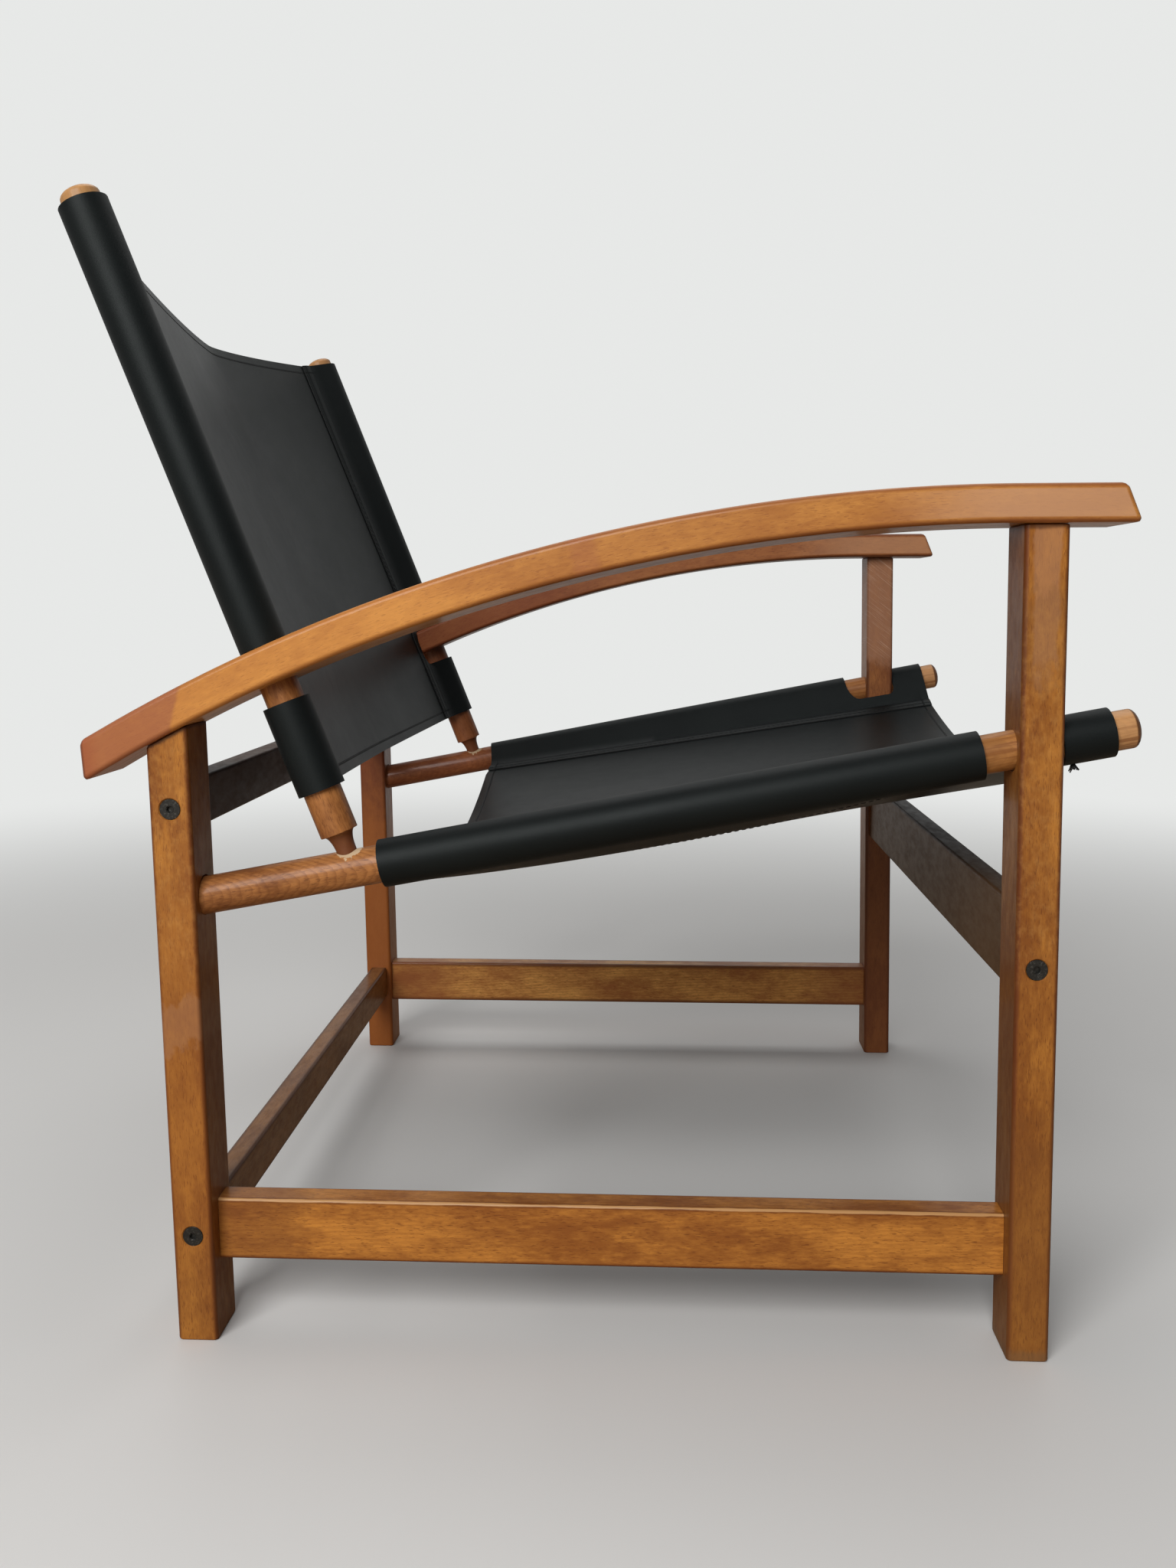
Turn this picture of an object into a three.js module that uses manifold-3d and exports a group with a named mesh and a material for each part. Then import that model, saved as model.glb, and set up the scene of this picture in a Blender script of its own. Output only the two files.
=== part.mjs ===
// A leather sling lounge chair: a bolted beech frame whose four round rods carry a seat sling and a back sling.
// Millimetres, +Z up. The chair faces -Y, so the sitter's right-hand side is -X.
// The origin is on the floor, at the middle of the chair's overall width and depth.
import * as THREE from "three";
import { mergeVertices } from "three/addons/utils/BufferGeometryUtils.js";
import Module from "manifold-3d";

const wasm = await Module();
wasm.setup();

// Clearance between pieces that touch on the real chair
const FIT = 0.3;

// Legs
const WIDTH = 640; // across the outer faces of the legs
const FOOT_SPAN = 577; // from the front of the front feet to the back of the rear feet
const LEG_WIDTH = 40; // along X
const LEG_DEPTH = 27; // along Y
const LEG_EDGE = 3;
const FOOT_CHAMFER = 1.5;
const FRONT_LEG_RAKE = 1.07; // degrees, both pairs of legs lean back
const REAR_LEG_RAKE = 0.48;

// Arms, straight over the front legs and then bent down to the rear on one radius
const ARM_WIDTH = 61;
const ARM_OVERHANG = 6; // outside the legs
const ARM_TOP_HEIGHT = 561.6;
const ARM_THICKNESS = 23.3;
const ARM_TOP_RADIUS = 1163;
const ARM_FLAT = 67.9; // from the nose to the start of the bend
const ARM_NOSE_OVERHANG = 38; // in front of the front legs
const ARM_NOSE_SLANT = 10;
const ARM_TAIL_OVERHANG = 43; // behind the rear feet
const ARM_TAIL_SLANT = 1.5;
const ARM_CORNER = 5; // rounding of the nose and the tail, seen from the side
const ARM_LOW_CORNER = 3.5; // the same at their lower edges
const ARM_EDGE = 3;

// Cross rails between the two sides, each held by a bolt at both ends
const RAIL_THICKNESS = 17;
const RAIL_EDGE = 2;
const FRONT_RAIL_HEIGHT = 58;
const FRONT_RAIL_RISE = 7; // the front rail's middle above its bolt
const REAR_RAIL_HEIGHT = 33;
const FRONT_BOLT_DROP = 139.2; // below the seat rods at the front legs
const REAR_UPPER_BOLT_DROP = 49; // below the arm's underside over the rear feet
const REAR_LOWER_RAIL_RISE = 0.5; // its middle above the middle of the side stretchers

// Side stretchers between the front and rear legs
const STRETCHER_HEIGHT = 43;
const STRETCHER_THICKNESS = 20;
const STRETCHER_INSET = 13.5; // behind the outer faces of the legs
const STRETCHER_BOTTOM = 52;

// Countersunk bolts and the threaded bushes in the ends of the rails
const BOLT_DIAMETER = 6;
const BOLT_HEAD_DIAMETER = 13.5;
const BOLT_HEAD_RIM = 0.5;
const BOLT_LENGTH = 60;
const BOLT_RECESS = 0.3;
const SOCKET_ACROSS_FLATS = 4;
const SOCKET_DEPTH = 2.4;
const BUSH_DIAMETER = 10;
const BUSH_LENGTH = 20;

// Wooden dowels
const DOWEL_DIAMETER = 8;
const DOWEL_CHAMFER = 0.8;
const RAIL_DOWEL_CLEARANCE = 2.5; // from the end of a rail dowel to the stretcher dowels that cross it
const RAIL_DOWEL_IN_RAIL = 20;
const REAR_RAIL_DOWEL_PITCH = 10.5; // above and below the bolt
const FRONT_RAIL_DOWEL_PITCH = 22; // above the bolt
const STRETCHER_DOWEL_IN_LEG = 11;
const STRETCHER_DOWEL_IN_STRETCHER = 19;
const STRETCHER_DOWEL_PITCH = 22;
const ARM_DOWEL_IN_LEG = 18;
const ARM_DOWEL_IN_ARM = 12;
const ARM_DOWEL_PITCH = 20;

// Rods. Distances along a seat rod start at the front face of the rear leg
const ROD_DIAMETER = 25;
const ROD_DOME = 5.5;
const SEAT_TILT = 10.67; // degrees
const SEAT_ROD_DROP = 108.9; // the axis at the rear leg, below the arm's underside over the rear feet
const SEAT_ROD_IN_LEG = 16;
const SEAT_ROD_LENGTH = 606;
const BACK_TILT = 21; // degrees from upright
const BACK_ROD_FOOT = 100.8; // along the seat rod
const BACK_ROD_LEAN = 0.8; // degrees, the sling draws the two rods towards each other
const BACK_ROD_SHOULDER = 25.3; // above the seat rod's axis, along the back rod
const BACK_ROD_LENGTH = 431; // from the shoulder to the top
const SHOULDER_STEP = 1.7; // from the rod down to the top of the turned neck
const NECK_DIAMETER = 13; // the neck goes on as a peg into the seat rod
const PEG_BELOW_AXIS = 1.5;

// Slings: one leather sheet each, folded round both rods and sewn down on its upper face
const LEATHER = 2.7;
const LAP_START = 28; // from a rod's axis to where the two layers meet
const FLAP_END = 41; // from a rod's axis to the edge of the flap
const NOTCH_CORNER = 12;
const SEAT_SLING_START = 14.2; // from the back rod's axis, along the seat rod
const SEAT_SLING_LENGTH = 473;
const SEAT_NOTCH_CLEARANCE = 8; // from the inner face of a front leg to the notch
const SEAT_NOTCH_BEHIND = 20; // bare rod behind the front leg
const SEAT_NOTCH_AHEAD = 1.2;
const SEAT_SAG = { rear: 42, middle: 47, front: 64.5 };
const SEAT_LAP_DEPTH = {
  right: { rear: 23.5, middle: 23.5, front: 21.5 }, // hangs deeper at the rear, stretched in use
  left: { rear: 9, middle: 17, front: 23.5 },
};
const SEAT_SHARPNESS = { rear: 1.5, middle: 1.5, front: 2.05 }; // 1 would be two straight halves, 2 a parabola
const BACK_SLING_START = 30; // above the back rod's shoulder
const BACK_SLING_LENGTH = 391;
const BACK_NOTCH_CLEARANCE = 4; // from the inner face of an arm to the notch
const BACK_NOTCH_BELOW = 13.5; // bare rod below the arm
const BACK_NOTCH_ABOVE = 3;
const BACK_SAG_FOOT = 24;
const BACK_SAG_TOP = 49;
const BACK_LAP_DEPTH = 8;
const BACK_SAG_SHIFT = 70; // the deepest line at the top lies towards the sitter's left
const BACK_SHARPNESS = 1.32;

const WOOD = new THREE.MeshStandardMaterial({ color: 0xa85f22, roughness: 0.45, metalness: 0 });
const ROD_WOOD = new THREE.MeshStandardMaterial({ color: 0xb06a30, roughness: 0.45, metalness: 0 });
const LEATHER_FINISH = new THREE.MeshStandardMaterial({ color: 0x23282a, roughness: 0.5, metalness: 0 });
const BLACK_STEEL = new THREE.MeshStandardMaterial({ color: 0x26262a, roughness: 0.4, metalness: 0.9 });
const BRASS = new THREE.MeshStandardMaterial({ color: 0xb59a5a, roughness: 0.4, metalness: 1 });
const DOWEL_WOOD = new THREE.MeshStandardMaterial({ color: 0xd8b78a, roughness: 0.7, metalness: 0 });

const SIDES = { right: -1, left: 1 };
const LEG_X = (WIDTH - LEG_WIDTH) / 2;
const INNER_FACE = WIDTH / 2 - LEG_WIDTH;
const ARM_X = (WIDTH - ARM_WIDTH) / 2 + ARM_OVERHANG;
const ROD_RADIUS = ROD_DIAMETER / 2;
const ROUND_SIDES = 24;
const DOWEL_SIDES = 8;
const slope = (degrees) => Math.tan(THREE.MathUtils.degToRad(degrees));
const seatTilt = THREE.MathUtils.degToRad(SEAT_TILT);
const backTilt = THREE.MathUtils.degToRad(BACK_TILT);
const point = (x, y, z) => new THREE.Vector3(x, y, z);

const LEGS = {
  front: { foot: -(FOOT_SPAN - LEG_DEPTH) / 2, rake: slope(FRONT_LEG_RAKE) },
  rear: { foot: (FOOT_SPAN - LEG_DEPTH) / 2, rake: slope(REAR_LEG_RAKE) },
};
const legCentre = (leg, z) => leg.foot + leg.rake * z;

// Arm: its upper and lower faces bend round the same centre
const armUnderside = ARM_TOP_HEIGHT - ARM_THICKNESS;
const armNose = legCentre(LEGS.front, armUnderside) - LEG_DEPTH / 2 - ARM_NOSE_OVERHANG;
const armBend = armNose + ARM_FLAT;
const armTail = FOOT_SPAN / 2 + ARM_TAIL_OVERHANG;
const armCentreHeight = ARM_TOP_HEIGHT - ARM_TOP_RADIUS;
const ARM_STEPS = 13;

// Points of one bent face from the start of the bend to a given Y
function armArc(radius, end) {
  const sweep = Math.asin((end - armBend) / radius);
  return Array.from({ length: ARM_STEPS + 1 }, (_, i) => {
    const angle = (sweep * i) / ARM_STEPS;
    return new THREE.Vector2(armBend + radius * Math.sin(angle), armCentreHeight + radius * Math.cos(angle));
  });
}

const armUnderPoints = armArc(ARM_TOP_RADIUS - ARM_THICKNESS, armTail - ARM_TAIL_SLANT);

function armUndersideAt(y) {
  const radius = ARM_TOP_RADIUS - ARM_THICKNESS;
  return y <= armBend ? armUnderside : armCentreHeight + Math.sqrt(radius ** 2 - (y - armBend) ** 2);
}

const armOverRearFeet = armUndersideAt(LEGS.rear.foot);

// The seat rod's axis starts at the rear leg's front face and rises to the front
const seatRodHeight = armOverRearFeet - SEAT_ROD_DROP;
const seatStart = point(0, legCentre(LEGS.rear, seatRodHeight) - LEG_DEPTH / 2, seatRodHeight);
const seatForward = point(0, -Math.cos(seatTilt), Math.sin(seatTilt));
const onSeatRod = (side, distance) =>
  seatStart.clone().addScaledVector(seatForward, distance).setX(side * LEG_X);

// The back rod stands on the seat rod's axis, leans back and a little inwards
const backUp = point(0, Math.sin(backTilt), Math.cos(backTilt));
const backRodX = (distance) => LEG_X - slope(BACK_ROD_LEAN) * distance;
const onBackRod = (side, distance) =>
  onSeatRod(side, BACK_ROD_FOOT).addScaledVector(backUp, distance).setX(side * backRodX(distance));

// Distance along the seat rod at which its axis meets a face of the front leg
function seatRodAtFrontLeg(faceOffset) {
  const gap = seatStart.y - legCentre(LEGS.front, seatStart.z) - faceOffset;
  return gap / (Math.cos(seatTilt) + LEGS.front.rake * Math.sin(seatTilt));
}

// Solids are joined and cut as closed meshes of shared vertices
function toManifold(geometry) {
  const bare = geometry.clone();
  bare.deleteAttribute("normal");
  bare.deleteAttribute("uv");
  const merged = mergeVertices(bare, 1e-4);
  return new wasm.Manifold(
    new wasm.Mesh({
      numProp: 3,
      vertProperties: new Float32Array(merged.attributes.position.array),
      triVerts: new Uint32Array(merged.index.array),
    }),
  );
}

function cut(geometry, cutters) {
  let body = toManifold(geometry);
  for (const cutter of cutters) {
    body = body.subtract(toManifold(cutter));
  }
  const result = body.getMesh();
  const out = new THREE.BufferGeometry();
  out.setAttribute("position", new THREE.BufferAttribute(new Float32Array(result.vertProperties), 3));
  out.setIndex(new THREE.BufferAttribute(new Uint32Array(result.triVerts), 1));
  out.computeVertexNormals();
  return out;
}

// Turns a shape lathed or drawn along +Y so that it runs from one point towards another
function along(geometry, from, to) {
  const turn = new THREE.Quaternion().setFromUnitVectors(point(0, 1, 0), to.clone().sub(from).normalize());
  return geometry.applyQuaternion(turn).translate(from.x, from.y, from.z);
}

function bore(from, to, radius, sides = ROUND_SIDES) {
  const length = from.distanceTo(to);
  return along(new THREE.CylinderGeometry(radius, radius, length, sides).translate(0, length / 2, 0), from, to);
}

function lathe(profile, sides) {
  return new THREE.LatheGeometry(profile.map(([radius, height]) => new THREE.Vector2(radius, height)), sides);
}

function roundedRectangle(width, height, radius) {
  const x = width / 2;
  const y = height / 2;
  const shape = new THREE.Shape();
  shape.absarc(x - radius, y - radius, radius, 0, Math.PI / 2);
  shape.absarc(-x + radius, y - radius, radius, Math.PI / 2, Math.PI);
  shape.absarc(-x + radius, -y + radius, radius, Math.PI, 1.5 * Math.PI);
  shape.absarc(x - radius, -y + radius, radius, 1.5 * Math.PI, 2 * Math.PI);
  shape.closePath();
  return shape;
}

// Extrudes a side view, drawn in Y and Z, to both sides of X = 0
const SIDE_VIEW = new THREE.Matrix4().makeBasis(point(0, 1, 0), point(0, 0, 1), point(1, 0, 0));
function sideExtrusion(shape, thickness, edge) {
  const geometry = new THREE.ExtrudeGeometry(shape, {
    depth: thickness - 2 * edge,
    bevelEnabled: edge > 0,
    bevelThickness: edge,
    bevelSize: edge,
    bevelOffset: -edge,
    bevelSegments: 2,
    curveSegments: 3,
  });
  return geometry.translate(0, 0, edge - thickness / 2).applyMatrix4(SIDE_VIEW);
}

// Adds an outward corner to an outline that runs counter-clockwise, rounded between its two neighbours
function roundCorner(shape, before, corner, after, radius) {
  const back = before.clone().sub(corner).normalize();
  const on = after.clone().sub(corner).normalize();
  const half = Math.acos(back.dot(on)) / 2;
  const centre = corner.clone().add(back.clone().add(on).setLength(radius / Math.sin(half)));
  const reach = radius / Math.tan(half);
  const start = corner.clone().addScaledVector(back, reach).sub(centre).angle();
  const end = corner.clone().addScaledVector(on, reach).sub(centre).angle();
  shape.absarc(centre.x, centre.y, radius, start, end);
}

function armShape() {
  const under = armUnderPoints;
  const top = armArc(ARM_TOP_RADIUS, armTail).reverse();
  const noseLow = new THREE.Vector2(armNose, armUnderside);
  const noseHigh = new THREE.Vector2(armNose + ARM_NOSE_SLANT, ARM_TOP_HEIGHT);
  const last = ARM_STEPS;
  const shape = new THREE.Shape();
  shape.moveTo(under[0].x, under[0].y);
  under.slice(1, last).forEach((p) => shape.lineTo(p.x, p.y));
  roundCorner(shape, under[last - 1], under[last], top[0], ARM_LOW_CORNER);
  roundCorner(shape, under[last], top[0], top[1], ARM_CORNER);
  top.slice(1).forEach((p) => shape.lineTo(p.x, p.y));
  roundCorner(shape, top[last], noseHigh, noseLow, ARM_CORNER);
  roundCorner(shape, noseHigh, noseLow, under[0], ARM_LOW_CORNER);
  shape.closePath();
  return shape;
}

// Everything above the arm's underside, used to cut the leg tops to fit
function aboveArm() {
  const shape = new THREE.Shape();
  shape.moveTo(armNose, armUnderside - FIT);
  armUnderPoints.forEach((p) => shape.lineTo(p.x, p.y - FIT));
  shape.lineTo(armTail, 2 * ARM_TOP_HEIGHT);
  shape.lineTo(armNose, 2 * ARM_TOP_HEIGHT);
  shape.closePath();
  return sideExtrusion(shape, 2 * LEG_WIDTH, 0);
}

// Where the bolts and dowels of the three rails sit
const stretcherX = WIDTH / 2 - STRETCHER_INSET - STRETCHER_THICKNESS / 2;
const stretcherMiddle = STRETCHER_BOTTOM + STRETCHER_HEIGHT / 2;
const frontBoltHeight = onSeatRod(0, seatRodAtFrontLeg(0)).z - FRONT_BOLT_DROP;
const rearUpperBoltHeight = armOverRearFeet - REAR_UPPER_BOLT_DROP;
const rearLowerBoltHeight = stretcherMiddle + REAR_LOWER_RAIL_RISE;
const RAILS = {
  front: {
    leg: LEGS.front,
    bolt: frontBoltHeight,
    middle: frontBoltHeight + FRONT_RAIL_RISE,
    height: FRONT_RAIL_HEIGHT,
    dowels: { upper: FRONT_RAIL_DOWEL_PITCH },
  },
  rear_upper: {
    leg: LEGS.rear,
    bolt: rearUpperBoltHeight,
    middle: rearUpperBoltHeight,
    height: REAR_RAIL_HEIGHT,
    dowels: { upper: REAR_RAIL_DOWEL_PITCH, lower: -REAR_RAIL_DOWEL_PITCH },
  },
  rear_lower: {
    leg: LEGS.rear,
    bolt: rearLowerBoltHeight,
    middle: rearLowerBoltHeight,
    height: REAR_RAIL_HEIGHT,
    dowels: { upper: REAR_RAIL_DOWEL_PITCH, lower: -REAR_RAIL_DOWEL_PITCH },
  },
};
const railY = (rail) => legCentre(rail.leg, rail.bolt);

// Ends of every dowel, by the piece that it joins
function railDowelEnds(rail, rise, side) {
  const y = railY(rail);
  const z = rail.bolt + rise;
  return [
    point(side * (INNER_FACE - RAIL_DOWEL_IN_RAIL), y, z),
    point(side * (stretcherX - DOWEL_DIAMETER / 2 - RAIL_DOWEL_CLEARANCE), y, z),
  ];
}

const STRETCHER_ROWS = { upper: STRETCHER_DOWEL_PITCH / 2, lower: -STRETCHER_DOWEL_PITCH / 2 };
function stretcherDowelEnds(end, rise, side) {
  const x = side * stretcherX;
  const z = stretcherMiddle + rise;
  const inward = end === "front" ? 1 : -1;
  const face = legCentre(LEGS[end], z) + (inward * LEG_DEPTH) / 2;
  return [
    point(x, face - inward * STRETCHER_DOWEL_IN_LEG, z),
    point(x, face + inward * STRETCHER_DOWEL_IN_STRETCHER, z),
  ];
}

const ARM_ROWS = { outer: ARM_DOWEL_PITCH / 2, inner: -ARM_DOWEL_PITCH / 2 };
function armDowelEnds(end, offset, side) {
  const x = side * (LEG_X + offset);
  const y = legCentre(LEGS[end], end === "front" ? armUnderside : armOverRearFeet);
  const seat = armUndersideAt(y);
  return [point(x, y, seat - ARM_DOWEL_IN_LEG), point(x, y, seat + ARM_DOWEL_IN_ARM)];
}

// A dowel's hole is wider all round and a little deeper at both ends
function dowelHole([from, to]) {
  const reach = to.clone().sub(from).setLength(FIT);
  return bore(from.clone().sub(reach), to.clone().add(reach), DOWEL_DIAMETER / 2 + FIT, DOWEL_SIDES);
}

function dowelGeometry([from, to]) {
  const radius = DOWEL_DIAMETER / 2;
  const length = from.distanceTo(to);
  const profile = [
    [0, 0],
    [radius - DOWEL_CHAMFER, 0],
    [radius, DOWEL_CHAMFER],
    [radius, length - DOWEL_CHAMFER],
    [radius - DOWEL_CHAMFER, length],
    [0, length],
  ];
  return lathe(profile, DOWEL_SIDES);
}

// Countersunk bolt from its head down, also used a little larger to cut its hole
function boltProfile(grow) {
  const head = BOLT_HEAD_DIAMETER / 2 + grow;
  const shank = BOLT_DIAMETER / 2 + grow;
  return [
    [0, -grow],
    [head, -grow],
    [head, BOLT_HEAD_RIM],
    [shank, BOLT_HEAD_RIM + head - shank],
    [shank, BOLT_LENGTH + grow],
    [0, BOLT_LENGTH + grow],
  ];
}
const boltHead = (rail, side) => point(side * (WIDTH / 2 - BOLT_RECESS), railY(rail), rail.bolt);
const boltEnd = (rail, side) => boltHead(rail, side).setX(side * (WIDTH / 2 - BOLT_RECESS - BOLT_LENGTH));

function boltHole(rail, side) {
  const deep = boltProfile(FIT);
  deep[0][1] = deep[1][1] = -BOLT_RECESS - LEG_EDGE;
  return along(lathe(deep, ROUND_SIDES / 2), boltHead(rail, side), boltEnd(rail, side));
}

// Bolt head with a hexagon socket
function boltGeometry() {
  const key = SOCKET_ACROSS_FLATS / Math.sqrt(3);
  const socket = bore(point(0, -1, 0), point(0, SOCKET_DEPTH, 0), key, 6);
  return cut(lathe(boltProfile(0), ROUND_SIDES / 2), [socket]);
}

function bushGeometry() {
  const inner = BOLT_DIAMETER / 2 + FIT;
  const outer = BUSH_DIAMETER / 2;
  const ring = [
    [inner, 0],
    [outer, 0],
    [outer, BUSH_LENGTH],
    [inner, BUSH_LENGTH],
    [inner, 0],
  ];
  return lathe(ring, ROUND_SIDES / 2);
}
const bushStart = (rail, side) => point(side * (INNER_FACE - 2 * FIT), railY(rail), rail.bolt);

// The leg is a rounded post, sheared to its rake, with its top cut to the arm's underside
function legGeometry(end, side) {
  const leg = LEGS[end];
  const post = new THREE.ExtrudeGeometry(roundedRectangle(LEG_WIDTH, LEG_DEPTH, LEG_EDGE), {
    depth: ARM_TOP_HEIGHT - FOOT_CHAMFER,
    bevelThickness: FOOT_CHAMFER,
    bevelSize: FOOT_CHAMFER,
    bevelOffset: -FOOT_CHAMFER,
    bevelSegments: 1,
    curveSegments: 3,
  });
  post.translate(side * LEG_X, leg.foot, FOOT_CHAMFER);
  post.applyMatrix4(new THREE.Matrix4().makeShear(0, 0, 0, 0, 0, leg.rake));
  const cutters = [aboveArm().translate(side * LEG_X, 0, 0)];
  const rodBore = ROD_RADIUS + FIT;
  if (end === "front") {
    const middle = seatRodAtFrontLeg(0);
    cutters.push(bore(onSeatRod(side, middle - LEG_DEPTH), onSeatRod(side, middle + LEG_DEPTH), rodBore));
  } else {
    cutters.push(bore(onSeatRod(side, -SEAT_ROD_IN_LEG - FIT), onSeatRod(side, LEG_DEPTH), rodBore));
  }
  for (const rail of Object.values(RAILS).filter((r) => r.leg === leg)) {
    cutters.push(boltHole(rail, side));
    Object.values(rail.dowels).forEach((rise) => cutters.push(dowelHole(railDowelEnds(rail, rise, side))));
  }
  Object.values(STRETCHER_ROWS).forEach((rise) => cutters.push(dowelHole(stretcherDowelEnds(end, rise, side))));
  Object.values(ARM_ROWS).forEach((offset) => cutters.push(dowelHole(armDowelEnds(end, offset, side))));
  return cut(post, cutters);
}

// The arm takes the leg dowels from below and the back rod right through
function armGeometry(side) {
  const blank = sideExtrusion(armShape(), ARM_WIDTH, ARM_EDGE).translate(side * ARM_X, 0, 0);
  const crossing = backRodAtArm();
  const reach = 2 * ARM_THICKNESS;
  const rodBore = bore(onBackRod(side, crossing - reach), onBackRod(side, crossing + reach), ROD_RADIUS + FIT);
  const dowels = ["front", "rear"].flatMap((end) =>
    Object.values(ARM_ROWS).map((offset) => dowelHole(armDowelEnds(end, offset, side))),
  );
  return cut(blank, [rodBore, ...dowels]);
}

// Distance along the back rod, from the seat rod's axis, to the arm's middle
function backRodAtArm() {
  const start = onBackRod(0, 0);
  const fromCentre = point(0, start.y - armBend, start.z - armCentreHeight);
  const b = fromCentre.dot(backUp);
  const middleRadius = ARM_TOP_RADIUS - ARM_THICKNESS / 2;
  return -b + Math.sqrt(b * b - fromCentre.lengthSq() + middleRadius ** 2);
}

function railGeometry(rail) {
  const length = 2 * (INNER_FACE - FIT);
  const blank = new THREE.ExtrudeGeometry(roundedRectangle(RAIL_THICKNESS, rail.height, RAIL_EDGE), {
    depth: length,
    bevelEnabled: false,
    curveSegments: 3,
  });
  blank.translate(0, 0, -length / 2).applyMatrix4(SIDE_VIEW);
  blank.translate(0, railY(rail), rail.middle);
  const cutters = [];
  for (const side of Object.values(SIDES)) {
    const mouth = point(side * (INNER_FACE + FIT), railY(rail), rail.bolt);
    const bottom = Math.min(boltEnd(rail, 1).x, INNER_FACE - BUSH_LENGTH - 2 * FIT) - 2 * FIT;
    cutters.push(bore(mouth, mouth.clone().setX(side * bottom), BUSH_DIAMETER / 2 + FIT, ROUND_SIDES / 2));
    Object.values(rail.dowels).forEach((rise) => cutters.push(dowelHole(railDowelEnds(rail, rise, side))));
  }
  return cut(blank, cutters);
}

// The stretcher's ends follow the rake of the leg faces that they butt against
function stretcherGeometry(side) {
  const blank = new THREE.ExtrudeGeometry(roundedRectangle(STRETCHER_THICKNESS, STRETCHER_HEIGHT, RAIL_EDGE), {
    depth: FOOT_SPAN,
    bevelEnabled: false,
    curveSegments: 3,
  });
  blank.rotateX(Math.PI / 2).translate(side * stretcherX, FOOT_SPAN / 2, stretcherMiddle);
  const corners = blank.attributes.position;
  for (let i = 0; i < corners.count; i++) {
    const front = corners.getY(i) < 0;
    const leg = front ? LEGS.front : LEGS.rear;
    const face = legCentre(leg, corners.getZ(i)) + (front ? 1 : -1) * (LEG_DEPTH / 2 + FIT);
    corners.setY(i, face);
  }
  const dowels = ["front", "rear"].flatMap((end) =>
    Object.values(STRETCHER_ROWS).map((rise) => dowelHole(stretcherDowelEnds(end, rise, side))),
  );
  return cut(blank, dowels);
}

// Quarter ellipse from a rod's side to the tip of its domed end
function dome(base) {
  const steps = 4;
  return Array.from({ length: steps + 1 }, (_, i) => {
    const angle = ((Math.PI / 2) * i) / steps;
    return [i === steps ? 0 : ROD_RADIUS * Math.cos(angle), base + ROD_DOME * Math.sin(angle)];
  });
}

// Seat rod from the rear leg to its domed tip, with the socket that the back rod's peg stands in
function seatRodGeometry(side) {
  const start = -SEAT_ROD_IN_LEG;
  const profile = [[0, start], [ROD_RADIUS, start], ...dome(SEAT_ROD_LENGTH - ROD_DOME)];
  const rod = along(lathe(profile, ROUND_SIDES), onSeatRod(side, 0), onSeatRod(side, 1));
  const socketEnd = onBackRod(side, -PEG_BELOW_AXIS - FIT);
  return cut(rod, [bore(socketEnd, onBackRod(side, ROD_DIAMETER), NECK_DIAMETER / 2 + FIT)]);
}

// Back rod from its foot up: peg, turned neck with a hollow curve, straight rod and domed top
function backRodGeometry() {
  const neckTop = ROD_RADIUS - SHOULDER_STEP;
  const neckFoot = ROD_RADIUS + FIT;
  const neckRadius = NECK_DIAMETER / 2;
  const coveSteps = 4;
  const cove = Array.from({ length: coveSteps + 1 }, (_, i) => {
    const angle = ((Math.PI / 2) * i) / coveSteps;
    return [
      neckTop - (neckTop - neckRadius) * Math.cos(angle),
      neckFoot + (BACK_ROD_SHOULDER - neckFoot) * Math.sin(angle),
    ];
  });
  const profile = [
    [0, -PEG_BELOW_AXIS],
    [neckRadius, -PEG_BELOW_AXIS],
    ...cove,
    [ROD_RADIUS, BACK_ROD_SHOULDER + FIT],
    ...dome(BACK_ROD_SHOULDER + BACK_ROD_LENGTH - ROD_DOME),
  ];
  return lathe(profile, ROUND_SIDES);
}

// Middle line of one sling's leather across the chair, from flap edge to flap edge.
// The first number is the place across the chair, the second the depth below the rods' axes.
function sheetLine({ rodX, lapDepth, sag, sharpness, deepest }) {
  const wrapSteps = 12;
  const wrap = (ROD_RADIUS + FIT) / Math.cos(Math.PI / wrapSteps) + LEATHER / 2;
  const lap = rodX - LAP_START;
  const depthAt = (a) => {
    const share = Math.abs(a - deepest) / (a > deepest ? lap - deepest : lap + deepest);
    const end = a > deepest ? lapDepth.left : lapDepth.right;
    return end + (sag - end) * (1 - share ** sharpness);
  };
  const panelSteps = 14;
  const panel = Array.from({ length: panelSteps + 1 }, (_, i) => {
    const a = lap - (2 * lap * i) / panelSteps;
    return new THREE.Vector2(a, depthAt(a));
  });
  const edge = (side) => {
    const flapSteps = 2;
    const flap = Array.from({ length: flapSteps + 1 }, (_, i) => {
      const a = side * (rodX - FLAP_END + ((FLAP_END - LAP_START) * i) / flapSteps);
      const fall = (depthAt(a + 0.5) - depthAt(a - 0.5)) / Math.hypot(1, depthAt(a + 0.5) - depthAt(a - 0.5));
      const lift = LEATHER + FIT;
      return new THREE.Vector2(a + lift * fall, depthAt(a) - lift * Math.sqrt(1 - fall * fall));
    });
    const centre = new THREE.Vector2(side * rodX, 0);
    const upper = tangentAngle(centre, wrap, flap[flapSteps], side);
    const lower = tangentAngle(centre, wrap, new THREE.Vector2(side * lap, depthAt(side * lap)), -side);
    const turn = THREE.MathUtils.euclideanModulo(side * (lower - upper), 2 * Math.PI);
    const loop = Array.from({ length: wrapSteps + 1 }, (_, i) => {
      const angle = upper + (side * turn * i) / wrapSteps;
      return new THREE.Vector2(wrap * Math.cos(angle), wrap * Math.sin(angle)).add(centre);
    });
    return [...flap, ...loop];
  };
  return [...edge(1), ...panel, ...edge(-1).reverse()];
}

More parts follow.
